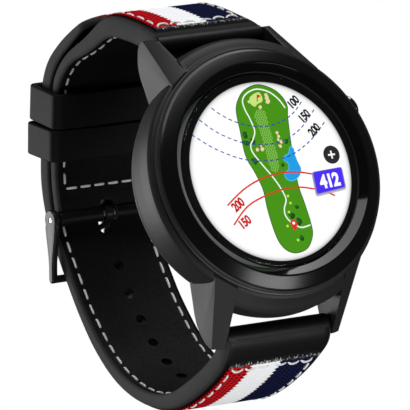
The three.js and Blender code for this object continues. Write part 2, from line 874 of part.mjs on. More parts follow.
put(head, "main_board", mainBoard, "board");
put(head, "battery", battery, "cell");
put(head, "gps_antenna", gpsAntenna, "ceramic");
put(head, "vibration_motor", vibrationMotor, "steel");
put(head, "tact_switch", tactSwitch, "plastic");
put(head, "display_flex", displayFlex, "flex");
put(head, "back_cover", backCover, "plastic");
put(head, "back_gasket", backGasket, "rubber");
SCREWS.forEach(([x, z], i) => put(head, `back_screw_${i + 1}`, screw(x, z), "steel"));
CONTACT_X.forEach((x, i) => put(head, `charge_contact_${i + 1}`, contact(x), "gold"));
put(head, "side_button", sideButton, "gloss");
put(head, "button_clip", buttonClip, "steel");
put(head, "button_seal", buttonSeal, "rubber");
for (const [tag, sz] of [
  ["12", 1],
  ["6", -1],
]) {
  put(head, `spring_bar_${tag}`, barTube(LUG_HALF, BAR_D, sz * BAR_Z, BAR_R), "steel");
  put(head, `bar_spring_${tag}`, barSpring(LUG_HALF, BAR_D, sz * BAR_Z), "steel");
  put(head, `bar_tip_${tag}_right`, tip(1, LUG_HALF, TIP_OUT + 0.25, BAR_D, sz * BAR_Z), "steel");
  put(head, `bar_tip_${tag}_left`, tip(-1, LUG_HALF, TIP_OUT + 0.25, BAR_D, sz * BAR_Z), "steel");
}
put(upper, "strap_buckle_half", halfCore, "leather");
put(upper, "lining_buckle_half", halfLining, "lining");
put(upper, "ribbon_buckle_half", halfRibbon, "ribbon");
put(upper, "fixed_keeper", fixedKeeper, "leather");
put(upper, "free_keeper", freeKeeper, "leather");
put(upper, "buckle_bar", barTube(BUCKLE_HALF, PIVOT[0], PIVOT[1], 0.7), "steel");
put(upper, "bar_spring_buckle", barSpring(BUCKLE_HALF, PIVOT[0], PIVOT[1]), "steel");
put(upper, "bar_tip_buckle_right", tip(1, BUCKLE_HALF, 1.3, PIVOT[0], PIVOT[1]), "steel");
put(upper, "bar_tip_buckle_left", tip(-1, BUCKLE_HALF, 1.3, PIVOT[0], PIVOT[1]), "steel");
put(upper, "buckle_frame", buckleFrame, "buckle");
put(upper, "buckle_tongue", tongue, "buckle");
put(lower, "strap_tail_half", tailCore, "leather");
put(lower, "lining_tail_half", tailLining, "lining");
put(lower, "ribbon_tail_half", tailRibbon, "ribbon");

export default group;
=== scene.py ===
import math
import random

import bmesh
import bpy
import numpy as np
from mathutils import Matrix, Vector
from mathutils.geometry import tessellate_polygon


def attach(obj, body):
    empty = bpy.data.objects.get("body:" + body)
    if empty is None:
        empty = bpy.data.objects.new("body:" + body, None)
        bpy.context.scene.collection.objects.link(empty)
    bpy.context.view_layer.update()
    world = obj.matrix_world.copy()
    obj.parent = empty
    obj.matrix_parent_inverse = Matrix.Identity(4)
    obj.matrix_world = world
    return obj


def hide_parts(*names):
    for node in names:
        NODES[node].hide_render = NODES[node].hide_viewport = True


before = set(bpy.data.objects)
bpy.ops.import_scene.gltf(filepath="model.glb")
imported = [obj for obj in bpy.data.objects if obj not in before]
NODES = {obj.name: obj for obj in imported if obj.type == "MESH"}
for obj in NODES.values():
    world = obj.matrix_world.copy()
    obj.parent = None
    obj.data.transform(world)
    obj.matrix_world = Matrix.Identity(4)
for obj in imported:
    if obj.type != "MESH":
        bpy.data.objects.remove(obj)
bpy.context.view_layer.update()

MM = 0.001
BACK = 13.0
RNG = random.Random(7)

# ------------------------------------------------------------------ camera
CAM_I = Vector((0.85354, -0.47206, -0.22053))
CAM_J = Vector((0.11592, -0.2406, 0.96368))
CAM_K = Vector((-0.50798, -0.8481, -0.15064))
CAM_AIM = Vector((-10.48, -6.12, -3.41)) * MM
cam_data = bpy.data.cameras.new("view_camera")
cam_data.lens = 600.6
cam_data.sensor_width = 36.0
cam_data.clip_start = 0.01
cam_data.clip_end = 20
cam = bpy.data.objects.new("view_camera", cam_data)
m = Matrix.Identity(4)
for c, v in enumerate((CAM_I, CAM_J, CAM_K)):
    for r in range(3):
        m[r][c] = v[r]
m.translation = CAM_AIM + CAM_K * 1.2
cam.matrix_world = m
bpy.context.scene.collection.objects.link(cam)
bpy.context.scene.camera = cam


# ------------------------------------------------------------------ small tools
def lin(hexa):
    """#rrggbb as linear rgb."""
    h = hexa.lstrip("#")
    out = []
    for i in (0, 2, 4):
        c = int(h[i : i + 2], 16) / 255
        out.append(c / 12.92 if c <= 0.04045 else ((c + 0.055) / 1.055) ** 2.4)
    return out


def new_obj(name, verts, faces, mats=(), ids=None, smooth=True, angle=35, uv=None):
    me = bpy.data.meshes.new(name)
    me.from_pydata([tuple(float(q) * MM for q in v) for v in verts], [], [tuple(f) for f in faces])
    me.update()
    for mt in mats:
        me.materials.append(mt)
    if ids is not None:
        me.polygons.foreach_set("material_index", np.array(ids, dtype=np.int32))
    if uv is not None:
        layer = me.uv_layers.new(name="st")
        idx = np.zeros(len(me.loops), dtype=np.int32)
        me.loops.foreach_get("vertex_index", idx)
        layer.data.foreach_set("uv", np.array(uv, dtype=np.float32)[idx].ravel())
    o = bpy.data.objects.new(name, me)
    bpy.context.scene.collection.objects.link(o)
    if smooth:
        soften(o, angle)
    return o


def soften(o, angle=35):
    me = o.data
    me.polygons.foreach_set("use_smooth", np.ones(len(me.polygons), dtype=bool))
    me.set_sharp_from_angle(angle=math.radians(angle))
    me.update()


def fix_normals(o):
    bm = bmesh.new()
    bm.from_mesh(o.data)
    bmesh.ops.recalc_face_normals(bm, faces=bm.faces)
    bm.to_mesh(o.data)
    bm.free()


def bake_mods(o):
    bpy.context.view_layer.update()
    dg = bpy.context.evaluated_depsgraph_get()
    me = bpy.data.meshes.new_from_object(o.evaluated_get(dg), preserve_all_data_layers=True, depsgraph=dg)
    o.modifiers.clear()
    o.data = me


def combine(o, others, op):
    for q in others:
        md = o.modifiers.new("b", "BOOLEAN")
        md.operation = op
        md.solver = "EXACT"
        md.object = q
        bake_mods(o)
        bpy.data.objects.remove(q)
    return o


def join(name, objs):
    """Several objects as one mesh, with their materials."""
    bm_v, bm_f, ids, uvs, mats = [], [], [], [], []
    has_uv = any(o.data.uv_layers for o in objs)
    for o in objs:
        me = o.data
        base = len(bm_v)
        bm_v += [o.matrix_world @ v.co for v in me.vertices]
        local = []
        for mt in me.materials:
            if mt not in mats:
                mats.append(mt)
            local.append(mats.index(mt))
        for p in me.polygons:
            bm_f.append([base + i for i in p.vertices])
            ids.append(local[p.material_index] if local else 0)
            if has_uv:
                layer = me.uv_layers[0].data if me.uv_layers else None
                uvs += [tuple(layer[i].uv) if layer else (0.0, 0.0) for i in p.loop_indices]
    me = bpy.data.meshes.new(name)
    me.from_pydata(bm_v, [], bm_f)
    for mt in mats:
        me.materials.append(mt)
    me.polygons.foreach_set("material_index", np.array(ids, dtype=np.int32))
    if has_uv:
        me.uv_layers.new(name="st").data.foreach_set("uv", np.array(uvs, dtype=np.float32).ravel())
    out = bpy.data.objects.new(name, me)
    bpy.context.scene.collection.objects.link(out)
    for o in objs:
        bpy.data.objects.remove(o)
    return out


def fillet(pts, rad, n=4):
    """Rounds the inner corners of a 2D polyline. rad: one radius, or one for each point."""
    rads = rad if isinstance(rad, (list, tuple)) else [rad] * len(pts)
    out = [pts[0]]
    for k in range(1, len(pts) - 1):
        p, a, b = (np.array(pts[i], float) for i in (k, k - 1, k + 1))
        u, w = a - p, b - p
        lu, lw = np.linalg.norm(u), np.linalg.norm(w)
        if rads[k] <= 0 or lu < 1e-9 or lw < 1e-9:
            out.append(tuple(p))
            continue
        u, w = u / lu, w / lw
        turn = math.pi - math.acos(max(-1, min(1, float(u @ w))))
        dist = min(rads[k] * math.tan(turn / 2), lu * 0.48, lw * 0.48)
        if dist < 1e-4:
            out.append(tuple(p))
            continue
        q0, q2 = p + u * dist, p + w * dist
        for i in range(n + 1):
            t = i / n
            out.append(tuple((1 - t) ** 2 * q0 + 2 * t * (1 - t) * p + t * t * q2))
    out.append(pts[-1])
    return out


def lathe(name, profile, seg=144, mats=(), pick=None, closed=True, angle=35, place=None):
    """Solid of revolution about the display's axis. profile: (radius, d). place moves a point (r, d, angle) to space."""
    place = place or (lambda r, d, a: (r * math.cos(a), d - BACK, r * math.sin(a)))
    pts = list(profile)
    verts, rings = [], []
    for r, d in pts:
        if r < 1e-6:
            rings.append([len(verts)])
            verts.append(place(0, d, 0))
        else:
            rings.append(list(range(len(verts), len(verts) + seg)))
            verts += [place(r, d, 2 * math.pi * k / seg) for k in range(seg)]
    faces, ids = [], []
    pairs = list(zip(range(len(pts) - 1), range(1, len(pts))))
    if closed and pts[0][0] > 1e-6 and pts[-1][0] > 1e-6:
        pairs.append((len(pts) - 1, 0))
    for i, j in pairs:
        A, B = rings[i], rings[j]
        mid = ((pts[i][0] + pts[j][0]) / 2, (pts[i][1] + pts[j][1]) / 2)
        mi = pick(*mid) if pick else 0
        for k in range(seg):
            k2 = (k + 1) % seg
            if len(A) == 1 and len(B) == 1:
                continue
            if len(A) == 1:
                f = [A[0], B[k], B[k2]]
            elif len(B) == 1:
                f = [A[k], B[0], A[k2]]
            else:
                f = [A[k], B[k], B[k2], A[k2]]
            faces.append(f)
            ids.append(mi)
    o = new_obj(name, verts, faces, mats, ids, smooth=False)
    fix_normals(o)
    soften(o, angle)
    return o


# ------------------------------------------------------------------ materials
def node(nt, kind, **props):
    n = nt.nodes.new(kind)
    for k, v in props.items():
        if k in ("operation", "blend_type", "data_type", "feature", "distance", "interpolation_type", "uv_map", "noise_dimensions", "wave_type", "bands_direction", "clamp", "use_clamp", "attribute_name"):
            setattr(n, k, v)
        else:
            n.inputs[k].default_value = v
    return n


def math_n(nt, op, a, b=None, c=None, clamp=False):
    n = nt.nodes.new("ShaderNodeMath")
    n.operation = op
    n.use_clamp = clamp
    for i, v in enumerate((a, b, c)):
        if v is None:
            continue
        if isinstance(v, (int, float)):
            n.inputs[i].default_value = v
        else:
            nt.links.new(v, n.inputs[i])
    return n.outputs[0]


def mix_rgb(nt, fac, a, b, blend="MIX"):
    n = nt.nodes.new("ShaderNodeMix")
    n.data_type = "RGBA"
    n.blend_type = blend
    for sock, v in ((n.inputs[0], fac), (n.inputs[6], a), (n.inputs[7], b)):
        if isinstance(v, (int, float)):
            sock.default_value = v
        elif isinstance(v, (list, tuple)):
            sock.default_value = (*v[:3], 1)
        else:
            nt.links.new(v, sock)
    return n.outputs[2]


def remap(nt, v, a, b, c, d):
    n = nt.nodes.new("ShaderNodeMapRange")
    nt.links.new(v, n.inputs[0])
    for i, q in zip((1, 2, 3, 4), (a, b, c, d)):
        n.inputs[i].default_value = q
    return n.outputs[0]


def coords(nt):
    return nt.nodes.new("ShaderNodeTexCoord").outputs["Object"]


def noise(nt, vec, scale, detail=3, rough=0.5):
    n = nt.nodes.new("ShaderNodeTexNoise")
    n.inputs["Scale"].default_value = scale
    n.inputs["Detail"].default_value = detail
    n.inputs["Roughness"].default_value = rough
    nt.links.new(vec, n.inputs["Vector"])
    return n.outputs["Fac"]


def voronoi(nt, vec, scale, feature="F1"):
    n = nt.nodes.new("ShaderNodeTexVoronoi")
    n.feature = feature
    n.inputs["Scale"].default_value = scale
    nt.links.new(vec, n.inputs["Vector"])
    return n.outputs["Distance"]


def bump(nt, h, strength, dist_mm, chain=None):
    n = nt.nodes.new("ShaderNodeBump")
    n.inputs["Strength"].default_value = strength
    n.inputs["Distance"].default_value = dist_mm * MM
    nt.links.new(h, n.inputs["Height"])
    if chain is not None:
        nt.links.new(chain, n.inputs["Normal"])
    return n.outputs[0]


def principled(name):
    mt = bpy.data.materials.new(name)
    mt.use_nodes = True
    nt = mt.node_tree
    p = nt.nodes["Principled BSDF"]
    return mt, nt, p


def metal_paint(name, color, rough, metallic=0.0, var=0.18, grain=0.35, spec=0.5, coat=0.0, coat_rough=0.1, bump_mm=0.004):
    """Coated or bare metal: faint mottling, fine orange peel and a little roughness variation."""
    mt, nt, p = principled(name)
    vec = coords(nt)
    big = noise(nt, vec, 90, 4)
    fine = noise(nt, vec, 4200, 2)
    dark = [c * (1 - var) for c in color]
    light = [min(1, c * (1 + var)) for c in color]
    nt.links.new(mix_rgb(nt, big, dark, light), p.inputs["Base Color"])
    nt.links.new(remap(nt, math_n(nt, "ADD", math_n(nt, "MULTIPLY", big, 0.6), math_n(nt, "MULTIPLY", fine, 0.4)), 0.25, 0.75, rough * 0.88, min(1, rough * 1.14)), p.inputs["Roughness"])
    p.inputs["Metallic"].default_value = metallic
    p.inputs["Specular IOR Level"].default_value = spec
    p.inputs["Coat Weight"].default_value = coat
    p.inputs["Coat Roughness"].default_value = coat_rough
    nt.links.new(bump(nt, fine, grain, bump_mm), p.inputs["Normal"])
    return mt


def brushed(name, color, rough, scale=(1, 1, 1), metallic=1.0):
    mt, nt, p = principled(name)
    mp = nt.nodes.new("ShaderNodeMapping")
    mp.inputs["Scale"].default_value = scale
    nt.links.new(coords(nt), mp.inputs["Vector"])
    a = noise(nt, mp.outputs[0], 1500, 3)
    nt.links.new(mix_rgb(nt, a, [c * 0.82 for c in color], [min(1, c * 1.12) for c in color]), p.inputs["Base Color"])
    nt.links.new(remap(nt, a, 0.2, 0.8, rough * 0.8, rough * 1.25), p.inputs["Roughness"])
    p.inputs["Metallic"].default_value = metallic
    nt.links.new(bump(nt, a, 0.4, 0.004), p.inputs["Normal"])
    return mt


def leather(name, color, rough, cell=2300, grain_mm=0.03, strength=0.5, var=0.25, spec=0.5):
    """Fine grained leather: pebbles between creases, pores and slow colour drift."""
    mt, nt, p = principled(name)
    vec = coords(nt)
    warp = nt.nodes.new("ShaderNodeTexNoise")
    warp.inputs["Scale"].default_value = 900
    nt.links.new(vec, warp.inputs["Vector"])
    add = nt.nodes.new("ShaderNodeVectorMath")
    add.operation = "MULTIPLY_ADD"
    nt.links.new(warp.outputs["Color"], add.inputs[0])
    add.inputs[1].default_value = (0.0003, 0.0003, 0.0003)
    nt.links.new(vec, add.inputs[2])
    edge = voronoi(nt, add.outputs[0], cell, "DISTANCE_TO_EDGE")
    crease = remap(nt, edge, 0.0, 0.22, 0.0, 1.0)
    fine = noise(nt, vec, 9000, 3)
    drift = noise(nt, vec, 160, 3)
    h = math_n(nt, "ADD", math_n(nt, "MULTIPLY", crease, 0.8), math_n(nt, "MULTIPLY", fine, 0.25))
    base = mix_rgb(nt, drift, [c * (1 - var) for c in color], [c * (1 + var) for c in color])
    nt.links.new(mix_rgb(nt, crease, [c * 0.55 for c in color], base), p.inputs["Base Color"])
    nt.links.new(remap(nt, math_n(nt, "ADD", crease, drift), 0.3, 1.6, min(1, rough * 1.15), rough * 0.9), p.inputs["Roughness"])
    p.inputs["Specular IOR Level"].default_value = spec
    nt.links.new(bump(nt, h, strength, grain_mm), p.inputs["Normal"])
    return mt


def edge_paint(name, color, rough):
    """Painted strap edge: smooth ink with faint lengthwise brush marks and a fine tooth."""
    mt, nt, p = principled(name)
    vec = coords(nt)
    drift = noise(nt, vec, 240, 4)
    fine = noise(nt, vec, 5200, 2)
    nt.links.new(mix_rgb(nt, drift, [c * 0.8 for c in color], [c * 1.2 for c in color]), p.inputs["Base Color"])
    nt.links.new(remap(nt, fine, 0.3, 0.7, rough * 0.9, min(1, rough * 1.1)), p.inputs["Roughness"])
    h = math_n(nt, "ADD", math_n(nt, "MULTIPLY", drift, 1.0), math_n(nt, "MULTIPLY", fine, 0.35))
    p.inputs["Specular IOR Level"].default_value = 0.1
    nt.links.new(bump(nt, h, 0.45, 0.03), p.inputs["Normal"])
    return mt


def plastic(name, color, rough, pebble=5200, strength=0.35, var=0.12, spec=0.5):
    mt, nt, p = principled(name)
    vec = coords(nt)
    a = noise(nt, vec, pebble, 2)
    b = noise(nt, vec, 130, 3)
    nt.links.new(mix_rgb(nt, b, [c * (1 - var) for c in color], [min(1, c * (1 + var)) for c in color]), p.inputs["Base Color"])
    nt.links.new(remap(nt, b, 0.3, 0.7, rough * 0.92, min(1, rough * 1.08)), p.inputs["Roughness"])
    p.inputs["Specular IOR Level"].default_value = spec
    nt.links.new(bump(nt, a, strength, 0.02), p.inputs["Normal"])
    return mt


def thread(name, color):
    mt, nt, p = principled(name)
    vec = coords(nt)
    w = nt.nodes.new("ShaderNodeTexWave")
    w.inputs["Scale"].default_value = 1500
    w.inputs["Distortion"].default_value = 2.0
    nt.links.new(vec, w.inputs["Vector"])
    f = noise(nt, vec, 6000, 2)
    nt.links.new(mix_rgb(nt, w.outputs["Fac"], [c * 0.8 for c in color], color), p.inputs["Base Color"])
    nt.links.new(remap(nt, f, 0.3, 0.7, 0.7, 0.95), p.inputs["Roughness"])
    p.inputs["Sheen Weight"].default_value = 0.2
    nt.links.new(bump(nt, w.outputs["Fac"], 0.6, 0.05), p.inputs["Normal"])
    return mt


def ribbon_cloth(name, red, white, navy, half):
    """Twill ribbon in three lengthwise stripes, with stepped stripe edges and the dots between its threads.
    The map's first number is the place across the ribbon and the second the place along it, in millimetres."""
    mt, nt, p = principled(name)
    uv = nt.nodes.new("ShaderNodeUVMap")
    uv.uv_map = "st"
    sep = nt.nodes.new("ShaderNodeSeparateXYZ")
    nt.links.new(uv.outputs[0], sep.inputs[0])
    x, s = sep.outputs[0], sep.outputs[1]
    pitch = 1.0
    k = 2 * math.pi / pitch
    a = math_n(nt, "SINE", math_n(nt, "MULTIPLY", math_n(nt, "ADD", x, s), k * 0.5))
    b = math_n(nt, "SINE", math_n(nt, "MULTIPLY", math_n(nt, "SUBTRACT", x, s), k * 0.5))
    cell = math_n(nt, "MULTIPLY", a, b)  # -1 in the gaps, 1 on the threads
    rib = math_n(nt, "SINE", math_n(nt, "MULTIPLY", math_n(nt, "ADD", math_n(nt, "MULTIPLY", x, 0.5), s), k))
    # stepped stripe edges
    saw = math_n(nt, "FRACT", math_n(nt, "DIVIDE", s, 1.15))
    step = math_n(nt, "MULTIPLY", math_n(nt, "ABSOLUTE", math_n(nt, "SUBTRACT", saw, 0.5)), 1.3)
    obj = coords(nt)
    wob = math_n(nt, "MULTIPLY", math_n(nt, "SUBTRACT", noise(nt, obj, 1900, 2), 0.5), 0.35)
    xs = math_n(nt, "ADD", x, math_n(nt, "ADD", step, wob))
    e = half / 3.0
    m1 = remap(nt, xs, -e - 0.03 - 1.0, -e + 0.03 - 1.0, 0, 1)
    m2 = remap(nt, xs, e - 0.03 - 1.2, e + 0.03 - 1.2, 0, 1)
    col = mix_rgb(nt, m2, mix_rgb(nt, m1, red, white), navy)
    gap = remap(nt, cell, -0.75, -0.1, 1, 0)
    fibre = noise(nt, obj, 5200, 3, 0.7)
    tone = mix_rgb(nt, gap, col, mix_rgb(nt, 0.95, col, [0, 0, 0]))
    # the white stripe hides its gaps
    keep = math_n(nt, "MULTIPLY", m1, math_n(nt, "SUBTRACT", 1, m2))
    tone = mix_rgb(nt, keep, tone, mix_rgb(nt, math_n(nt, "MULTIPLY", gap, 0.14), white, [0.45, 0.46, 0.5]))
    tone = mix_rgb(nt, math_n(nt, "MULTIPLY", fibre, 0.22), tone, mix_rgb(nt, 0.5, tone, [1, 1, 1], "OVERLAY"))
    nt.links.new(tone, p.inputs["Base Color"])
    nt.links.new(remap(nt, fibre, 0.3, 0.7, 0.72, 0.95), p.inputs["Roughness"])
    p.inputs["Specular IOR Level"].default_value = 0.0
    h = math_n(nt, "ADD", math_n(nt, "MULTIPLY", cell, 0.5), math_n(nt, "MULTIPLY", rib, 0.35))
    h = math_n(nt, "ADD", h, math_n(nt, "MULTIPLY", fibre, 0.4))
    nt.links.new(bump(nt, h, 0.8, 0.07), p.inputs["Normal"])
    return mt


def lit(name, color, glow=1.0, speckle=0.12, scale=1500):
    """Lit display ink: a constant glow under a faintly uneven surface."""
    mt, nt, p = principled(name)
    v = noise(nt, coords(nt), scale, 3)
    a = [c * 0.10 for c in color]
    b = [c * 0.10 * (1 + speckle * 3) for c in color]
    nt.links.new(mix_rgb(nt, v, a, b), p.inputs["Base Color"])
    p.inputs["Emission Color"].default_value = (*color, 1)
    p.inputs["Emission Strength"].default_value = glow
    p.inputs["Roughness"].default_value = 0.6
    p.inputs["Specular IOR Level"].default_value = 0.1
    return mt


def clear_glass(name):
    """Clear glass: what lies behind it, with a faint mirror image on top, the same at every angle."""
    mt, nt, p = principled(name)
    out = [n for n in nt.nodes if n.type == "OUTPUT_MATERIAL"][0]
    tr = nt.nodes.new("ShaderNodeBsdfTransparent")
    mix = nt.nodes.new("ShaderNodeMixShader")
    tr.inputs["Color"].default_value = (0.985, 0.99, 0.99, 1)
    p.inputs["Base Color"].default_value = (0.92, 0.93, 0.93, 1)
    p.inputs["Metallic"].default_value = 1.0
    nt.links.new(remap(nt, noise(nt, coords(nt), 260, 4), 0.35, 0.75, 0.015, 0.05), p.inputs["Roughness"])
    mix.inputs[0].default_value = 0.02
    nt.links.new(tr.outputs[0], mix.inputs[1])
    nt.links.new(p.outputs[0], mix.inputs[2])
    nt.links.new(mix.outputs[0], out.inputs["Surface"])
    return mt


M_CASE = metal_paint("m_case_coating", [0.014, 0.014, 0.0143], 0.46, 0.0, spec=0.16, coat=0.0)
M_BEZEL = metal_paint("m_bezel_satin", [0.0035, 0.0035, 0.0037], 0.22, 0.0, spec=0.17, grain=0.06)
M_CHAMFER = metal_paint("m_bezel_chamfer", [0.002, 0.002, 0.0022], 0.07, 0.0, spec=0.2, grain=0.03)
M_RING = metal_paint("m_bezel_foot_ring", [0.045, 0.045, 0.047], 0.3, 0.6, spec=0.3, grain=0.08)
M_GROOVE = plastic("m_groove_shadow", [0.004, 0.004, 0.004], 0.8)
M_GLASS = clear_glass("m_cover_glass")
M_BORDER = plastic("m_glass_border", [0.0025, 0.0025, 0.0028], 0.4, strength=0.1, spec=0.1)
M_BUTTON = metal_paint("m_button_polished", [0.12, 0.12, 0.125], 0.14, 1.0, grain=0.05)
M_LEATHER = leather("m_strap_leather", [0.0040, 0.0040, 0.0042], 0.46, cell=2100, grain_mm=0.025, strength=0.3, spec=0.14)
M_EDGE = edge_paint("m_strap_edge_paint", [0.026, 0.026, 0.0265], 0.66)
M_LINING = leather("m_lining_leather", [0.0036, 0.0036, 0.0037], 0.7, cell=1500, grain_mm=0.03, strength=0.45, spec=0.12)
M_KEEPER = edge_paint("m_keeper_leather", [0.006, 0.006, 0.0063], 0.6)
M_THREAD = thread("m_white_thread", [0.86, 0.86, 0.85])
M_FRAY_BLACK = thread("m_black_thread", [0.012, 0.012, 0.013])
M_HEM = plastic("m_ribbon_hem", [0.006, 0.006, 0.0065], 0.9, pebble=2400, strength=0.9, spec=0.1)
M_RIBBON = ribbon_cloth("m_ribbon_twill", [0.42, 0.008, 0.012], [0.84, 0.85, 0.87], [0.008, 0.010, 0.036], 9.2)
M_BUCKLE = metal_paint("m_buckle_coating", [0.009, 0.009, 0.0095], 0.36, 0.0, spec=0.2)
M_STEEL = brushed("m_steel", [0.56, 0.57, 0.58], 0.28)
M_GOLD = brushed("m_contact_gold", [0.86, 0.62, 0.22], 0.22)
M_BACK = plastic("m_back_moulding", [0.012, 0.012, 0.013], 0.5, pebble=3600, strength=0.6)
M_RUBBER = plastic("m_seal_rubber", [0.012, 0.012, 0.012], 0.85, pebble=3000, strength=0.5)
M_FRAMEP = plastic("m_inner_frame_moulding", [0.02, 0.021, 0.022], 0.6)
M_BOARD = plastic("m_board_mask", [0.01, 0.09, 0.03], 0.35, pebble=900, strength=0.6, var=0.3)
M_CELL = brushed("m_cell_foil", [0.55, 0.56, 0.57], 0.4, (0.2, 1, 1))
M_CERAMIC = plastic("m_antenna_ceramic", [0.5, 0.42, 0.28], 0.7, pebble=2500, strength=0.5)
M_FLEX = plastic("m_flex_film", [0.5, 0.2, 0.03], 0.3, pebble=800, strength=0.3)

for names, mt in (
    (("lens_gasket", "back_gasket", "button_seal"), M_RUBBER),
    (("inner_frame", "tact_switch"), M_FRAMEP),
    (("main_board",), M_BOARD),
    (("battery",), M_CELL),
    (("gps_antenna",), M_CERAMIC),
    (("display_flex",), M_FLEX),
    (("vibration_motor", "button_clip", "buckle_bar", "spring_bar_12", "spring_bar_6", "bar_spring_12", "bar_spring_6", "bar_spring_buckle", "bar_tip_12_right", "bar_tip_12_left", "bar_tip_6_right", "bar_tip_6_left", "bar_tip_buckle_right", "bar_tip_buckle_left"), M_STEEL),
):
    for n in names:
        NODES[n].data.materials.clear()
        NODES[n].data.materials.append(mt)


def hand_over(o, body, slot, *replaced):
    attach(o, body)
    if replaced:
        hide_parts(*replaced)
    return o


# ------------------------------------------------------------------ watch case
def case_piece():
    prof = fillet(
        [(16.0, 1.25), (22.35, 1.25), (22.95, 1.5), (23.25, 2.3), (23.25, 3.1), (23.05, 5.4), (22.5, 9.1), (22.1, 9.8), (16.0, 9.8)],
        [0, 0.25, 0.5, 0.8, 1.2, 1.5, 1.2, 0.3, 0],
        5,
    )
    body = lathe("case_shell", prof, 180, [M_CASE, M_GROOVE])
    outline = [(1.2, 13.0), (1.2, 20.6), (8.9, 28.7), (10.4, 28.75), (11.7, 28.1), (12.6, 26.8), (13.0, 25.1), (12.95, 23.3), (12.4, 21.4), (11.4, 19.3), (9.75, 15.6), (9.75, 12.0)]
    upper = [(d, z - {1: 1.1, 2: 1.5, 3: 0.9, 4: 0.3}.get(i, 0)) for i, (d, z) in enumerate(outline)]
    web = lathe(
        "web",
        fillet([(20.5, 1.6), (22.9, 1.6), (24.5, 2.9), (25.0, 3.9), (25.0, 7.4), (24.1, 9.2), (23.8, 9.8), (20.5, 9.8)], [0, 0.4, 0.8, 1.2, 1.2, 0.6, 0.3, 0], 5),
        180,
        [M_CASE, M_GROOVE],
    )
    vs = [(x, d - BACK, z) for x in (-11.45, 11.45) for d in (0, 12) for z in (-30, 30)]
    block = new_obj("block", vs, [(0, 1, 3, 2), (4, 6, 7, 5), (0, 4, 5, 1), (2, 3, 7, 6), (0, 2, 6, 4), (1, 5, 7, 3)], [M_CASE, M_GROOVE], smooth=False)
    fix_normals(block)
    combine(web, [block], "INTERSECT")
    combine(body, [web], "UNION")
    for sx in (1, -1):
        for sz in (1, -1):
            path = upper if sz > 0 else outline
            ring = fillet([path[-1]] + path + [path[0]], [0, 0, 0.0, 0.9, 1.2, 1.6, 1.6, 2.0, 2.0, 2.0, 2.0, 0, 0, 0], 4)[1:-1]
            bm = bmesh.new()
            x0, x1 = sx * 11.1, sx * 15.6
            lo = [bm.verts.new(Vector((x0, d - BACK, z * sz)) * MM) for d, z in ring]
            hi = [bm.verts.new(Vector((x1, d - BACK, z * sz)) * MM) for d, z in ring]
            n = len(ring)
            bm.faces.new(lo)
            bm.faces.new(list(reversed(hi)))
            for k in range(n):
                bm.faces.new([lo[k], hi[k], hi[(k + 1) % n], lo[(k + 1) % n]])
            bmesh.ops.recalc_face_normals(bm, faces=bm.faces)
            for point, normal in (
                ((sx * 11.1, 1.15 - BACK, sz * 20.0), (sx * 0.444, -0.625, sz * 0.641)),
                ((sx * 15.0, 5 - BACK, sz * 17.5), (sx, 0, sz * 0.171)),
            ):
                geom = bm.verts[:] + bm.edges[:] + bm.faces[:]
                res = bmesh.ops.bisect_plane(bm, geom=geom, dist=1e-8, plane_co=Vector(point) * MM, plane_no=Vector(normal).normalized(), clear_outer=True)
                cut = [e for e in res["geom_cut"] if isinstance(e, bmesh.types.BMEdge)]
                bmesh.ops.edgeloop_fill(bm, edges=cut)
            bmesh.ops.recalc_face_normals(bm, faces=bm.faces)
            sharp = [e for e in bm.edges if len(e.link_faces) == 2 and e.calc_face_angle(0) > math.radians(28)]
            bmesh.ops.bevel(bm, geom=sharp, offset=0.42 * MM, offset_type="OFFSET", segments=4, profile=0.55, affect="EDGES", clamp_overlap=True)
            bmesh.ops.recalc_face_normals(bm, faces=bm.faces)
            me = bpy.data.meshes.new("lug")
            bm.to_mesh(me)
            bm.free()
            for mt in (M_CASE, M_GROOVE):
                me.materials.append(mt)
            lug = bpy.data.objects.new("lug", me)
            bpy.context.scene.collection.objects.link(lug)
            combine(body, [lug], "UNION")
    cav = lathe("cav", [(0, 3.1), (20.0, 3.1), (20.0, 20), (0, 20)], 120, [M_CASE, M_GROOVE])
    under = lathe("under", [(0, 9.8), (22.25, 9.8), (22.25, 20), (0, 20)], 160, [M_CASE, M_GROOVE])
    front = lathe("front", [(0, -3), (17.1, -3), (17.1, 4), (0, 4)], 140, [M_CASE, M_GROOVE])
    combine(body, [cav, under, front], "DIFFERENCE")
    cut = []
    cut.append(along_u("cb", [(0, 21.9), (2.6, 21.9), (2.6, 26), (0, 26)], 48, [M_CASE, M_GROOVE]))
    cut.append(along_u("bore", [(0, 17), (1.5, 17), (1.5, 23), (0, 23)], 32, [M_CASE, M_GROOVE]))
    for sz in (1, -1):
        for sx in (1, -1):
            cut.append(rod_x("hole", 0.5, sx * 10, sx * 12.4, 10.9, sz * 26.6, 20, [M_CASE, M_GROOVE]))
    combine(body, cut, "DIFFERENCE")
    soften(body, 30)
    return body


BA = math.radians(64.5)
U = Vector((math.sin(BA), 0, math.cos(BA)))
SIDE = Vector((math.cos(BA), 0, -math.sin(BA)))


def along_u(name, prof, seg=64, mats=(), pick=None, angle=35):
    w = U.cross(SIDE)
    base = Vector((0, 4.6 - BACK, 0))

    def place(r, h, a):
        q = base + U * h + SIDE * (r * math.cos(a)) + w * (r * math.sin(a))
        return (q.x, q.y, q.z)

    return lathe(name, prof, seg, mats, pick, angle=angle, place=place)


def rod_x(name, r, x0, x1, d, z, seg=32, mats=(), edge=0.0, angle=35):
    if x0 > x1:
        x0, x1 = x1, x0
    prof = [(0, x0), (r, x0), (r, x1), (0, x1)] if edge <= 0 else fillet([(0, x0), (r, x0), (r, x1), (0, x1)], [0, edge, edge, 0], 4)
    return lathe(name, prof, seg, mats, angle=angle, place=lambda q, h, a: (h, d - BACK + q * math.cos(a), z + q * math.sin(a)))


case = hand_over(case_piece(), "head", "case_metal", "case_body")


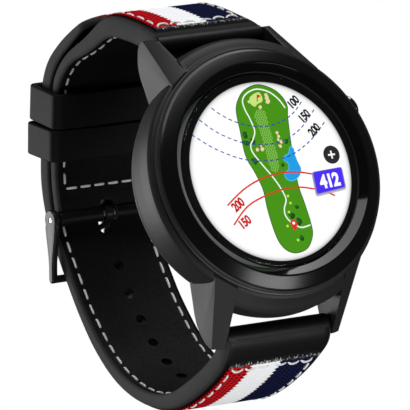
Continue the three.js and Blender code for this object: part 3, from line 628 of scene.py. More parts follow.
def bezel_pick(r, d):
    if d > 0.6 or r < 17.8:
        return 3
    if r < 19.2:
        return 1
    if r > 21.85:
        return 2
    return 0


bezel = lathe(
    "bezel",
    fillet(
        [(17.75, 0.95), (17.75, -0.15), (19.15, -1.22), (19.42, -1.3), (21.55, -0.22), (21.93, 0.05), (21.98, 0.33), (22.2, 0.36), (22.42, 0.42), (22.5, 0.62), (22.5, 0.8), (22.3, 0.95), (17.75, 0.95)],
        [0, 0.12, 0.12, 0.35, 0.5, 0.2, 0.06, 0.05, 0.12, 0.12, 0.1, 0.1, 0],
        4,
    )[:-1],
    200,
    [M_BEZEL, M_CHAMFER, M_RING, M_GROOVE],
    bezel_pick,
    angle=40,
)
hand_over(bezel, "head", "bezel_black", "bezel_ring")

glass = lathe(
    "lens",
    fillet([(0, -0.15), (17.22, -0.15), (17.45, 0.05), (17.45, 0.32), (0, 0.32)], [0, 0.25, 0.15, 0.02, 0], 3),
    160,
    [M_GLASS],
)
hand_over(glass, "head", "glass", "cover_glass")
border = lathe("lens_border", [(16.45, 0.333), (17.4, 0.333), (17.4, 0.335), (16.45, 0.339)], 160, [M_BORDER])
# the printed window sits a little to the right of the ring
for v in border.data.vertices:
    if math.hypot(v.co.x, v.co.z) < 0.0167:
        v.co.x = v.co.x * 0.985 + 0.00028
        v.co.z = v.co.z * 0.985 - 0.00018
hand_over(border, "head", "glass")

# ------------------------------------------------------------------ button
button = along_u(
    "push_button",
    fillet(
        [(0, 19.3), (0.9, 19.3), (0.9, 22.7), (2.1, 22.7), (2.3, 22.85), (2.3, 23.55), (2.22, 23.62), (2.22, 23.72), (2.3, 23.8), (2.3, 24.15), (2.0, 24.5), (1.5, 24.72), (0.8, 24.85), (0, 24.88)],
        [0, 0.05, 0.05, 0.1, 0.1, 0.04, 0.04, 0.04, 0.04, 0.3, 0.6, 1.0, 1.5, 0],
        4,
    ),
    96,
    [M_BUTTON],
)
hand_over(button, "button", "button_metal", "side_button")

# ------------------------------------------------------------------ back
back_prof = fillet(
    [(0, 11.6), (16.6, 11.6), (16.9, 10.1), (21.7, 10.1), (21.9, 10.4), (21.6, 11.2), (20.6, 12.5), (19.9, 13.0), (15.9, 13.0), (15.8, 12.9), (15.5, 12.9), (15.4, 13.0), (0, 13.0)],
    [0, 0.1, 0.1, 0.15, 0.3, 0.6, 0.8, 0.5, 0.03, 0.03, 0.03, 0.03, 0],
    4,
)
back = lathe("back_plate", back_prof, 160, [M_BACK])
cuts = []
SCREWS = [(10.3, 14.6), (-10.3, 14.6), (-10.3, -14.6), (10.3, -14.6)]


def along_y(name, prof, x, z, seg=40, mats=(), angle=35):
    return lathe(name, prof, seg, mats, angle=angle, place=lambda r, d, a: (x + r * math.cos(a), d - BACK, z + r * math.sin(a)))


for x, z in SCREWS:
    cuts.append(along_y("c", [(0, 11.8), (1.3, 11.8), (1.3, 12.86), (1.44, 13.01), (1.44, 14), (0, 14)], x, z, 40, [M_BACK]))
    cuts.append(along_y("c", [(0, 9), (0.85, 9), (0.85, 12), (0, 12)], x, z, 32, [M_BACK]))
CONTACT_X = [-3.9, -1.3, 1.3, 3.9]
for x in CONTACT_X:
    cuts.append(along_y("c", [(0, 10), (0.95, 10), (0.95, 14), (0, 14)], x, 10.5, 36, [M_BACK]))
combine(back, cuts, "DIFFERENCE")
soften(back, 30)
hand_over(back, "head", "back_plastic", "back_cover")
for i, (x, z) in enumerate(SCREWS):
    s = along_y(
        f"screw_{i + 1}",
        fillet([(0, 7.0), (0.35, 7.0), (0.65, 7.4), (0.65, 11.98), (1.12, 11.98), (1.12, 12.6), (0.95, 12.75), (0, 12.77)], [0, 0.1, 0.1, 0.03, 0.03, 0.15, 0.2, 0], 3),
        x, z, 48, [M_STEEL],
    )
    slots = []
    for turn in (0, 90):
        ang = math.radians(turn + 20 * i)
        vs = []
        for sx in (-0.62, 0.62):
            for sy in (-0.13, 0.13):
                for d in (12.4, 13.2):
                    vs.append((x + sx * math.cos(ang) - sy * math.sin(ang), d - BACK, z + sx * math.sin(ang) + sy * math.cos(ang)))
        q = new_obj("q", vs, [(0, 1, 3, 2), (4, 6, 7, 5), (0, 4, 5, 1), (2, 3, 7, 6), (0, 2, 6, 4), (1, 5, 7, 3)], [M_STEEL], smooth=False)
        fix_normals(q)
        slots.append(q)
    combine(s, slots, "DIFFERENCE")
    soften(s, 30)
    hand_over(s, "head", "steel", f"back_screw_{i + 1}")
for i, x in enumerate(CONTACT_X):
    s = along_y(
        f"contact_pad_{i + 1}",
        fillet([(0, 11.0), (1.08, 11.0), (1.08, 11.38), (0.8, 11.38), (0.8, 12.7), (0.66, 12.85), (0.3, 12.84), (0, 12.8)], [0, 0.05, 0.05, 0.05, 0.05, 0.12, 0.15, 0], 3),
        x, 10.5, 40, [M_GOLD],
    )
    hand_over(s, "head", "contact_gold", f"charge_contact_{i + 1}")

# ------------------------------------------------------------------ display
PANEL_D = 0.40


def px(u, v):
    """Drawing place (u right, v down, on the 410 grid of the drawing sheet) to X, Z on the panel."""
    a, b = (u - 270.2) / 5.7 + 0.17, -(v - 169.9) / 5.7 + 0.087
    return ((0.96368 * a + 0.22053 * b) / 0.8481, (-0.11592 * a + 0.85354 * b) / 0.8481)


def spline(pts, per=8, closed=False):
    P = [np.array(p, float) for p in pts]
    n = len(P)
    out = []
    rng = range(n) if closed else range(n - 1)
    for i in rng:
        p0 = P[(i - 1) % n] if closed or i > 0 else 2 * P[0] - P[1]
        p1, p2 = P[i], P[(i + 1) % n]
        p3 = P[(i + 2) % n] if closed or i + 2 < n else 2 * P[-1] - P[-2]
        for k in range(per):
            t = k / per
            out.append(tuple(0.5 * ((2 * p1) + (-p0 + p2) * t + (2 * p0 - 5 * p1 + 4 * p2 - p3) * t * t + (-p0 + 3 * p1 - 3 * p2 + p3) * t ** 3)))
    if not closed:
        out.append(tuple(P[-1]))
    return out


art_v, art_f, art_i, art_m = [], [], [], []


def ink(mt):
    if mt not in art_m:
        art_m.append(mt)
    return art_m.index(mt)


def flat(poly, layer, mt):
    """A flat filled outline of X, Z points on a drawing layer. Higher layers lie nearer to the viewer."""
    y = PANEL_D - 0.006 * layer - BACK
    base = len(art_v)
    art_v.extend((p[0], y, p[1]) for p in poly)
    for t in tessellate_polygon([[Vector((p[0], p[1], 0)) for p in poly]]):
        a, b, c = (poly[i] for i in t)
        area = (b[0] - a[0]) * (c[1] - a[1]) - (c[0] - a[0]) * (b[1] - a[1])
        if abs(area) < 1e-9:
            continue
        t = t if area > 0 else (t[0], t[2], t[1])
        art_f.append([base + i for i in t])
        art_i.append(ink(mt))


def line(pts, w, layer, mt, cap=True):
    pts = [np.array(p, float) for p in pts]
    L, R = [], []
    for i, p in enumerate(pts):
        t = pts[min(i + 1, len(pts) - 1)] - pts[max(i - 1, 0)]
        ln = np.linalg.norm(t)
        t = t / (ln if ln > 1e-9 else 1)
        n = np.array([-t[1], t[0]]) * w / 2
        L.append(p + n)
        R.append(p - n)
    poly = [tuple(q) for q in L] + [tuple(q) for q in reversed(R)]
    flat(poly, layer, mt)


def dot(c, r, layer, mt, seg=28, squash=1.0):
    flat([(c[0] + r * math.cos(2 * math.pi * k / seg), c[1] + squash * r * math.sin(2 * math.pi * k / seg)) for k in range(seg)], layer, mt)


def blob(c, r, layer, mt, seed, seg=22, rough=0.22):
    rr = random.Random(seed)
    raw = [1 + rough * (rr.random() - 0.5) * 2 for _ in range(7)]
    pts = [(c[0] + r * raw[k] * math.cos(2 * math.pi * k / 7), c[1] + r * raw[k] * math.sin(2 * math.pi * k / 7)) for k in range(7)]
    flat(spline(pts, 5, True), layer, mt)


INK = {k: lit("ink_" + k, lin(v), 1.0) for k, v in {
    "green": "#45900f", "rim": "#2c5a1c", "light": "#86bf55", "putt": "#c9e27c", "sand": "#e8d2a0", "lake": "#1c9be2", "lake_rim": "#5fc0ee",
    "tree": "#124b16", "tree_lit": "#1d6a20", "path": "#f3f7ea", "navy": "#2f3f98", "red": "#df2f22", "brick": "#c2481c", "black": "#141414",
    "redtext": "#c81c1c", "button": "#262628", "white": "#ffffff", "badge": "#4a2bf0", "badge_rim": "#8f8bb5", "shade": "#b9b9bf", "tee": "#b6e83a",
}.items()}
# white ground with a soft shadow towards its rim
steps = [(0.0, 1.0), (14.9, 1.0), (15.4, 0.985), (15.75, 0.955), (16.0, 0.90), (16.2, 0.82), (16.35, 0.70), (16.45, 0.55), (16.52, 0.42)]
for i in range(1, len(steps)):
    r0, r1, g = steps[i - 1][0], steps[i][0], (steps[i - 1][1] + steps[i][1]) / 2
    mt = lit(f"ink_ground_{i}", [g ** 2.0] * 3, 1.0, 0.02)
    y = PANEL_D - BACK
    seg = 160
    base = len(art_v)
    if r0 == 0:
        art_v.append((0.28, y, -0.18))
        art_v.extend((0.28 + 0.985 * r1 * math.cos(2 * math.pi * k / seg), y, -0.18 + 0.985 * r1 * math.sin(2 * math.pi * k / seg)) for k in range(seg))
        for k in range(seg):
            art_f.append([base, base + 1 + k, base + 1 + (k + 1) % seg])
            art_i.append(ink(mt))
    else:
        for r in (r0, r1):
            art_v.extend((0.28 + 0.985 * r * math.cos(2 * math.pi * k / seg), y, -0.18 + 0.985 * r * math.sin(2 * math.pi * k / seg)) for k in range(seg))
        for k in range(seg):
            k2 = (k + 1) % seg
            art_f.append([base + k, base + seg + k, base + seg + k2, base + k2])
            art_i.append(ink(mt))

HOLE = [(239, 97), (236, 110), (240, 131), (245.5, 156), (255, 173), (263, 190), (267, 208), (273, 228), (279, 242), (287, 250.5), (297, 253), (308, 248), (313, 235), (311, 222), (305, 203), (298, 182), (292, 146), (288.5, 118), (287, 103), (276, 90), (259, 84), (246, 88.5)]
hole_curve = spline([px(*p) for p in HOLE], 8, True)
cx = sum(p[0] for p in hole_curve) / len(hole_curve)
cz = sum(p[1] for p in hole_curve) / len(hole_curve)


def inset(curve, d):
    out = []
    n = len(curve)
    area = sum(curve[i][0] * curve[(i + 1) % n][1] - curve[(i + 1) % n][0] * curve[i][1] for i in range(n))
    sgn = 1 if area > 0 else -1
    for i in range(n):
        a, b = np.array(curve[i - 1]), np.array(curve[(i + 1) % n])
        t = b - a
        t = t / max(1e-9, np.linalg.norm(t))
        nrm = np.array([-t[1], t[0]]) * sgn
        out.append(tuple(np.array(curve[i]) + nrm * d))
    return out


flat(inset(hole_curve, -0.04), 1, INK["rim"])
flat(inset(hole_curve, 0.10), 2, INK["green"])
# mown strip, drawn as crossing lines
strip = spline([px(*p) for p in [(256, 110.3), (261.5, 109.2), (265.8, 112.5), (269, 124), (273.5, 140), (278, 156), (279, 168), (275.5, 172.6), (270.5, 168), (266.5, 155), (262, 138), (257.5, 124), (254, 116)]], 6, True)


def inside(p, poly):
    n, hit = len(poly), False
    for i in range(n):
        a, b = poly[i], poly[i - 1]
        if (a[1] > p[1]) != (b[1] > p[1]) and p[0] < (b[0] - a[0]) * (p[1] - a[1]) / (b[1] - a[1]) + a[0]:
            hit = not hit
    return hit


sx0, sx1 = min(p[0] for p in strip), max(p[0] for p in strip)
sz0, sz1 = min(p[1] for p in strip), max(p[1] for p in strip)
for direction in ((0.5, 0.866), (-0.5, 0.866)):
    dv = np.array(direction)
    nv = np.array([-dv[1], dv[0]])
    mid = np.array([(sx0 + sx1) / 2, (sz0 + sz1) / 2])
    for k in range(-30, 31):
        run = []
        for q in np.arange(-12, 12, 0.12):
            p = mid + nv * (k * 0.42) + dv * q
            if inside(p, strip):
                run.append(p)
            elif run:
                if len(run) > 2:
                    line(run, 0.13, 3, INK["light"])
                run = []
        if len(run) > 2:
            line(run, 0.13, 3, INK["light"])
# green, bunkers, flag
flat(spline([px(*p) for p in [(250, 97), (254, 93.5), (259, 92), (262, 96), (262.5, 101), (258, 103.5), (255, 106.5), (251, 104), (249.5, 100.5)]], 5, True), 3, INK["putt"])
for c, r, sd in (((267, 97.5), 0.45, 1), ((267.8, 101), 0.42, 2), ((266.2, 94.5), 0.34, 3), ((248.8, 101.6), 0.28, 4), ((260.5, 107), 0.32, 5), ((277, 132.6), 0.3, 6), ((278.8, 136.2), 0.34, 7), ((281, 141.5), 0.34, 8), ((280.4, 145.8), 0.34, 9), ((257.4, 149.5), 0.32, 10), ((262.5, 149.2), 0.38, 11), ((261, 145.5), 0.24, 12), ((278.5, 139.6), 0.25, 13)):
    blob(px(*c), r, 4, INK["sand"], sd)
line([px(257.3, 101.5), px(257.3, 94.5)], 0.14, 5, INK["black"])
flat([px(257.3, 94.0), px(261.2, 95.6), px(257.4, 98.2)], 5, INK["red"])
# lake
lake = spline([px(*p) for p in [(290, 146.5), (294, 148), (295.3, 154), (298, 161), (301.5, 169), (299.5, 176.5), (293, 181), (286.5, 179), (284.6, 173), (288.5, 169), (288, 163.5), (283.5, 159.5), (284.5, 155.5), (288.5, 153)]], 6, True)
flat(lake, 4, INK["lake_rim"])
flat(inset(lake, 0.12), 5, INK["lake"])
# trees and tees
for c, r, sd in (((245, 135), 0.55, 21), ((246, 143), 0.6, 22), ((252, 142), 0.55, 23), ((255.5, 161), 0.66, 24), ((287, 141.5), 0.4, 25), ((291.5, 215), 0.62, 26), ((299, 222), 0.62, 27), ((302, 238), 0.55, 28), ((283, 165), 0.36, 29), ((297, 207), 0.42, 30)):
    blob(px(*c), r, 4, INK["tree"], sd, rough=0.35)
    blob(px(c[0] - 0.8, c[1] - 0.8), r * 0.5, 5, INK["tree_lit"], sd + 50, rough=0.35)
for c in ((288, 196), (290.5, 203), (289, 212), (287.5, 226), (298, 240)):
    dot(px(*c), 0.26, 5, INK["tee"], 12)
# cart path
path_pts = spline([px(*p) for p in [(285.5, 107.5), (279, 99), (269, 91.5), (257, 88.8), (247.5, 92.5), (242.6, 99.5), (244.5, 108.5), (250, 119), (254.7, 131), (252.8, 140), (250.7, 145.5), (253, 153), (263, 165.5), (272, 176), (280, 187), (286, 199), (284.4, 208), (285.5, 215.5), (291, 222), (301, 227.3), (310.5, 225)]], 8)
line(path_pts, 0.26, 6, INK["path"])


def dashed(points, w, layer, mt, on, off, limit=16.1):
    pts = [np.array(p) for p in spline([px(*p) for p in points], 24)]
    seg = [0.0]
    for i in range(1, len(pts)):
        seg.append(seg[-1] + float(np.linalg.norm(pts[i] - pts[i - 1])))

    def at(s):
        k = int(np.searchsorted(seg, s)) or 1
        k = min(k, len(pts) - 1)
        f = (s - seg[k - 1]) / max(1e-9, seg[k] - seg[k - 1])
        return pts[k - 1] * (1 - f) + pts[k] * f

    s = 0.0
    while s + on < seg[-1]:
        run = [at(s + on * q / 4) for q in range(5)]
        if max(np.linalg.norm(p) for p in run) < limit:
            line(run, w, layer, mt)
        s += on + off


for arc in (
    [(206, 104), (221, 115), (240, 123.5), (262, 126.5), (280, 122), (294, 112), (306, 95)],
    [(199, 120), (217, 132.5), (240, 142), (262, 144.5), (282, 141), (301, 128), (318, 104)],
    [(191.5, 135), (214, 148.5), (240, 158.5), (262, 161), (288, 156.5), (311, 140), (328.5, 117)],
):
    dashed(arc, 0.2, 7, INK["navy"], 0.74, 0.5)
for arc in (
    [(227.4, 205.6), (236, 196.5), (247, 187), (262, 178.5), (280, 173), (298, 172), (314, 174)],
    [(233.8, 225), (243, 211.5), (252, 203), (266, 195.5), (284, 189), (300, 187.2), (314, 188.8), (326, 191.5), (335.6, 195.5)],
):
    pts = [p for p in spline([px(*p) for p in arc], 12) if math.hypot(*p) < 16.2]
    out_run, in_run = [], []
    for i in range(len(pts) - 1):
        a, b = pts[i], pts[i + 1]
        midp = ((a[0] + b[0]) / 2, (a[1] + b[1]) / 2)
        line([a, b], 0.3, 7, INK["brick"] if inside(midp, hole_curve) and not inside(midp, lake) else INK["red"])


def label(text, centre, height, base_dir, mt, layer, squeeze=0.78):
    """Generic number on the panel. base_dir: the baseline's direction on the drawing sheet."""
    cu = bpy.data.curves.new("t", "FONT")
    cu.body = text
    cu.size = 1.0
    cu.align_x = "CENTER"
    cu.align_y = "CENTER"
    cu.offset = 0.045
    cu.space_character = 0.95
    o = bpy.data.objects.new("t", cu)
    bpy.context.scene.collection.objects.link(o)
    bpy.context.view_layer.update()
    me = bpy.data.meshes.new_from_object(o.evaluated_get(bpy.context.evaluated_depsgraph_get()))
    c = np.array(px(*centre))
    e = np.array(px(centre[0] + base_dir[0], centre[1] + base_dir[1])) - c
    e = e / np.linalg.norm(e)
    up = np.array([-e[1], e[0]])
    y = PANEL_D - 0.006 * layer - BACK
    base = len(art_v)
    xs = [v.co.x for v in me.vertices]
    ys = [v.co.y for v in me.vertices]
    ox, oy = (min(xs) + max(xs)) / 2, (min(ys) + max(ys)) / 2
    k = height / (max(ys) - min(ys))
    for v in me.vertices:
        q = c + e * ((v.co.x - ox) * k * squeeze) + up * ((v.co.y - oy) * k)
        art_v.append((q[0], y, q[1]))
    for p in me.polygons:
        art_f.append([base + i for i in p.vertices])
        art_i.append(ink(mt))
    bpy.data.objects.remove(o)
    bpy.data.curves.remove(cu)


label("100", (293.9, 101.0), 1.7, (1, -1.12), INK["black"], 7)
label("150", (305.0, 115), 1.7, (1, -1.12), INK["black"], 7)
label("200", (314.6, 129.3), 1.7, (1, -1.12), INK["black"], 7)
label("200", (237.8, 204.6), 1.8, (1, -0.92), INK["redtext"], 7)
label("150", (245.0, 221.6), 1.8, (1, -0.88), INK["redtext"], 7)
# plus key
pc = px(332.2, 154.3)
dot(pc, 1.66, 7, INK["button"], 40)
for w, h in ((0.72, 0.15), (0.15, 0.72)):
    flat([(pc[0] - w, pc[1] - h), (pc[0] + w, pc[1] - h), (pc[0] + w, pc[1] + h), (pc[0] - w, pc[1] + h)], 8, INK["white"])
# distance badge


def badge(corners, r, layer, mt, shift=(0, 0), grow=0.0):
    c = [np.array(px(*p)) for p in corners]
    mid = sum(c) / 4
    c = [mid + (q - mid) * (1 + grow) + np.array(shift) for q in c]
    ring = [tuple((c[3] + c[0]) / 2)] + [tuple(q) for q in c] + [tuple((c[3] + c[0]) / 2)]
    flat(fillet(ring, [0, r, r, r, r, 0], 5)[:-1], layer, mt)


BADGE = [(312.8, 172), (342.2, 166.6), (346.4, 187), (317.2, 194.4)]
badge(BADGE, 0.5, 7, INK["shade"], (-0.12, -0.34), 0.05)
badge(BADGE, 0.5, 8, INK["badge_rim"], (-0.03, -0.05), 0.04)
badge(BADGE, 0.45, 9, INK["badge"], (0, 0), -0.03)
label("412", (330, 180.2), 2.55, (1, -0.2), INK["white"], 10, 0.86)
# position mark
pin = px(294, 224.5)
flat(spline([(pin[0], pin[1] - 1.1), (pin[0] - 0.62, pin[1] - 0.1), (pin[0] - 0.55, pin[1] + 0.62), (pin[0], pin[1] + 0.92), (pin[0] + 0.55, pin[1] + 0.62), (pin[0] + 0.62, pin[1] - 0.1)], 5, True), 8, INK["red"])
dot((pin[0], pin[1] + 0.25), 0.27, 9, INK["white"], 16)

picture = new_obj("display_picture", art_v, art_f, art_m, art_i, smooth=False)
hand_over(picture, "head", "display")
panel = lathe("display_glass_stack", fillet([(0, 0.42), (16.7, 0.42), (16.8, 0.5), (16.8, 2.1), (0, 2.1)], [0, 0.1, 0.1, 0.1, 0], 3), 140, [M_BORDER])
hand_over(panel, "head", "display", "display_panel")

# ------------------------------------------------------------------ strap paths
TAIL_PTS = [(9.15, -26.9), (9.7, -28.7), (11.5, -30.4), (13.6, -31.4), (17.5, -32.7), (22.5, -33.8), (28.0, -34.5), (33.31, -34.54), (39.42, -33.2), (46.05, -30.13), (51.88, -25.34), (56.57, -18.62), (59.62, -11.15), (61.29, -5.1), (62.59, 0.43), (63.45, 5.48), (63.54, 10.14), (62.64, 14.99), (60.49, 19.81), (57.97, 24.95), (55.33, 29.92), (53.9, 31.99), (50.53, 34.71), (45.15, 36.64), (39.54, 37.7), (34.5, 38.1), (31.48, 37.9)]


class Path:
    """Centripetal Catmull-Rom curve through (d, z) points, by arc length in millimetres."""

    def __init__(self, pts, out, soft=0.0):
        P = [np.array(p, float) for p in pts]
        ext = [2 * P[0] - P[1]] + P + [2 * P[-1] - P[-2]]
        fine = []
        for i in range(1, len(ext) - 2):
            p0, p1, p2, p3 = ext[i - 1 : i + 3]
            t0 = 0.0
            t1 = t0 + np.linalg.norm(p1 - p0) ** 0.5
            t2 = t1 + np.linalg.norm(p2 - p1) ** 0.5
            t3 = t2 + np.linalg.norm(p3 - p2) ** 0.5
            for k in range(40):
                t = t1 + (t2 - t1) * k / 40
                a1 = (t1 - t) / (t1 - t0) * p0 + (t - t0) / (t1 - t0) * p1
                a2 = (t2 - t) / (t2 - t1) * p1 + (t - t1) / (t2 - t1) * p2
                a3 = (t3 - t) / (t3 - t2) * p2 + (t - t2) / (t3 - t2) * p3
                b1 = (t2 - t) / (t2 - t0) * a1 + (t - t0) / (t2 - t0) * a2
                b2 = (t3 - t) / (t3 - t1) * a2 + (t - t1) / (t3 - t1) * a3
                fine.append((t2 - t) / (t2 - t1) * b1 + (t - t1) / (t2 - t1) * b2)
        fine.append(P[-1])
        self.p = np.array(fine)
        self.s = np.concatenate([[0], np.cumsum(np.linalg.norm(np.diff(self.p, axis=0), axis=1))])
        self.len = float(self.s[-1])
        grid = np.linspace(0, self.len, 1400)
        q = np.stack([np.interp(grid, self.s, self.p[:, i]) for i in (0, 1)], 1)
        if soft > 0:
            step = grid[1] - grid[0]
            n = int(3 * soft / step)
            w = np.exp(-0.5 * (np.arange(-n, n + 1) * step / soft) ** 2)
            w /= w.sum()
            pad = np.concatenate([2 * q[0] - q[n:0:-1], q, 2 * q[-1] - q[-2 : -n - 2 : -1]])
            q = np.stack([np.convolve(pad[:, i], w, "valid") for i in (0, 1)], 1)
        self.g, self.q = grid, q
        t = np.gradient(q, grid, axis=0)
        t /= np.linalg.norm(t, axis=1)[:, None]
        self.t = t
        self.out = out

    def at(self, s):
        s = min(max(s, 0.0), self.len)
        p = [float(np.interp(s, self.g, self.q[:, i])) for i in (0, 1)]
        t = [float(np.interp(s, self.g, self.t[:, i])) for i in (0, 1)]
        ln = math.hypot(*t)
        t = (t[0] / ln, t[1] / ln)
        return p, (-t[1] * self.out, t[0] * self.out), t

    def find(self, d, z):
        k = int(np.argmin(np.hypot(self.q[:, 0] - d, self.q[:, 1] - z)))
        return float(self.g[k])

    def point(self, s, x, h):
        p, n, _ = self.at(s)
        return (x, p[0] + n[0] * h - BACK, p[1] + n[1] * h)


def smooth(a, b, x):
    t = min(1.0, max(0.0, (x - a) / (b - a)))
    return t * t * (3 - 2 * t)


TAIL = Path(TAIL_PTS, -1, 0.8)
TL = TAIL.len


def padding(s):
    return 0.65 * smooth(24, 42, s) - 0.25 * smooth(58, 66, s) + 0.8 * smooth(77, 90, s) - 0.9 * smooth(108, 122, s)


def tail_thick(s):
    return 3.4 + padding(s) - 1.2 * smooth(18, 40, s) - 1.0 * smooth(TL - 12, TL - 1, s)


def tail_hw(s):
    w = 11.0 - 0.35 * smooth(3, 9, s) - 0.35 * smooth(10, TL - 20, s)
    e = TL - s
    return w * math.sqrt(max(0.0, 1 - (1 - (e + 0.25) / 6.25) ** 2.4)) if e < 6 else w


def under(s):
    p, n, _ = TAIL.at(s)
    k = -(tail_thick(s) + 0.5)
    return (p[0] + n[0] * k, p[1] + n[1] * k)


S_JOIN, S_END = TAIL.find(42.5, 36.9), TAIL.find(62.8, 8.4)
HALF_PTS = [(9.15, 26.9), (10.0, 28.3), (12.2, 29.8), (16.0, 32.1), (20.5, 34.4), (24.8, 36.05), (28.4, 36.35), (32.3, 35.6), (36.5, 34.9)]
HALF_PTS += [under(S_JOIN + (S_END - S_JOIN) * i / 9) for i in range(10)]
HALF = Path(HALF_PTS, 1, 1.0)
HL = HALF.len


def half_thick(s):
    return 3.8 - 1.4 * smooth(20, 38, s)


def half_hw(s):
    return 11.0 - 0.35 * smooth(3, 9, s) - 0.25 * smooth(10, HL - 8, s)


def rounded_loop(pts, rads, n=4):
    """A closed 2D outline with rounded corners."""
    k = len(pts)
    out = []
    for i in range(k):
        tri = [pts[i - 1], pts[i], pts[(i + 1) % k]]
        f = fillet(tri, [0, rads[i], 0], n)
        out += f[1:-1]
    return out


def sweep(name, path, stations, section, mats, pick=None, angle=35, uvs=True):
    """Closed body swept along a path. section(s) gives a closed loop of (x, h), the same count at every station."""
    verts, uv, rows = [], [], []
    for s in stations:
        loop = section(s)
        rows.append(list(range(len(verts), len(verts) + len(loop))))
        for x, h in loop:
            verts.append(path.point(s, x, h))
            uv.append((x, s))
    faces, ids = [], []
    n = len(rows[0])
    for i in range(len(rows) - 1):
        for k in range(n):
            k2 = (k + 1) % n
            faces.append([rows[i][k], rows[i][k2], rows[i + 1][k2], rows[i + 1][k]])
            ids.append(pick(stations[i], k, n) if pick else 0)
    faces.append(list(reversed(rows[0])))
    faces.append(rows[-1])
    ids += [0, 0]
    o = new_obj(name, verts, faces, mats, ids, smooth=False, uv=uv if uvs else None)
    fix_normals(o)
    soften(o, angle)
    return o


def stations(s0, s1, step, tip=0):
    out = list(np.linspace(s0, s1, max(3, int(round((s1 - s0) / step)) + 1)))
    if tip:
        out = [s for s in out if s < s1 - 6.2] + [s1 - 6.2 * (1 - math.sin(q)) for q in np.linspace(0, math.pi / 2, 22)]
    return out


def core_section(thick, hw, crown, rim=0.42):
    """Padded leather core: soft top corners, a painted side, and a recess that takes the lining."""

    def f(s):
        t, w = thick(s), max(0.25, hw(s))
        k = min(1.0, w / 3)
        rc = 0.85 * k
        top = [(-w, -0.9), (-w + 0.16 * k, -0.34), (-w + 0.62 * k, -0.05)]
        top += [(-w + (w * 2) * q, crown * (1 - (2 * q - 1) ** 4) - 0.02) for q in (0.08, 0.2, 0.35, 0.5, 0.65, 0.8, 0.92)]
        top += [(w - 0.62 * k, -0.05), (w - 0.16 * k, -0.34), (w, -0.9)]
        bot = [(w + 0.0, -t + 0.75), (w - 0.06 * k, -t + 0.28), (w - 0.22 * k, -t + 0.05), (w - rim * k, -t + 0.0), (w - (rim + 0.1) * k, -t + 0.45), (0, -t + 0.52)]
        bot += [(-w + (rim + 0.1) * k, -t + 0.45), (-w + rim * k, -t + 0.0), (-w + 0.22 * k, -t + 0.05), (-w + 0.06 * k, -t + 0.28), (-w, -t + 0.75)]
        return top + bot

    return f


def core_pick(leather_id=0, edge_id=1):
    def f(s, k, n):
        # the loop has 13 top points and 11 lower ones
        if 2 <= k <= 9:
            return leather_id
        if k in (15, 16, 17, 18, 19):
            return leather_id
        return edge_id

    return f


def crowned_sheet(lo, hi, hw, crown, dip_at, dip, side):
    """Thin skin whose outer side (side +1) or inner side (side -1) is crowned and pulled in along its stitch rows."""

    def f(s):
        w = max(0.2, hw(s))
        a, b = lo(s), hi(s)
        xs = [-1, -0.985, -0.94, -0.9, -0.86, -0.82, -0.78, -0.7, -0.5, -0.25, 0, 0.25, 0.5, 0.7, 0.78, 0.82, 0.86, 0.9, 0.94, 0.985, 1]
        face = []
        for q in xs:
            x = q * w
            c = crown * (1 - abs(q) ** 3)
            e = min(abs(abs(x) - (w - dip_at)) / 0.55, 1.0)
            c -= dip * (1 - e) ** 2 * (3 - 2 * (1 - e)) if w > dip_at + 0.8 else 0
            edge = 0.0 if abs(q) < 0.99 else 0.14
            face.append((x, (b + c - edge) if side > 0 else (a - c + edge)))
        back = [(w * 0.985, a if side > 0 else b), (-w * 0.985, a if side > 0 else b)]
        return face + back

    return f


def cutters(path, ss, r, seg=28, slot=None, mats=()):
    out = []
    for s in ss:
        p, n, t = path.at(s)
        verts, rows = [], []
        for h in (-5.0, 2.5):
            rows.append(list(range(len(verts), len(verts) + seg)))
            for k in range(seg):
                a = 2 * math.pi * k / seg
                x, q = r * math.cos(a), r * math.sin(a)
                verts.append((x, p[0] + n[0] * h + t[0] * q - BACK, p[1] + n[1] * h + t[1] * q))
        faces = [[rows[0][k], rows[0][(k + 1) % seg], rows[1][(k + 1) % seg], rows[1][k]] for k in range(seg)]
        faces += [list(reversed(rows[0])), rows[1]]
        o = new_obj("c", verts, faces, mats, [len(mats) - 1] * len(faces) if mats else None, smooth=False)
        fix_normals(o)
        out.append(o)
    return out


def slot_cutter(x, d0, d1, z0, z1, mats=()):
    loop = rounded_loop([(-x, z0), (x, z0), (x, z1), (-x, z1)], [x * 0.96] * 4, 5)
    n = len(loop)
    verts = [(a, d0 - BACK, b) for a, b in loop] + [(a, d1 - BACK, b) for a, b in loop]
    faces = [[k, (k + 1) % n, n + (k + 1) % n, n + k] for k in range(n)] + [list(reversed(range(n))), list(range(n, 2 * n))]
    o = new_obj("c", verts, faces, mats, [len(mats) - 1] * len(faces) if mats else None, smooth=False)
    fix_normals(o)
    return o


S_TONGUE = TAIL.find(62.85, 5.0)
HOLES = [S_TONGUE + 5.0] + [S_TONGUE - 2.8 - k * 6.0 for k in (1, 2, 3, 4, 5, 6)]

# ------------------------------------------------------------------ strap, tail half
core_mats = [M_LEATHER, M_EDGE]
tail = sweep("strap_lower", TAIL, stations(0, TL - 0.02, 0.8, 1), core_section(tail_thick, tail_hw, 0.02), core_mats, core_pick())
roll = rod_x("r", 1.8, -10.8, 10.8, 10.9, -26.6, 56, core_mats, 0.45)
combine(tail, [roll], "UNION")
combine(tail, [rod_x("r", 0.95, -12, 12, 10.9, -26.6, 28, core_mats)] + cutters(TAIL, HOLES, 1.0, mats=core_mats) + [slot_cutter(1.25, 59, 67, 3.6, 6.75, core_mats)], "DIFFERENCE")
soften(tail, 38)
hand_over(tail, "tail_half", "leather", "strap_tail_half")

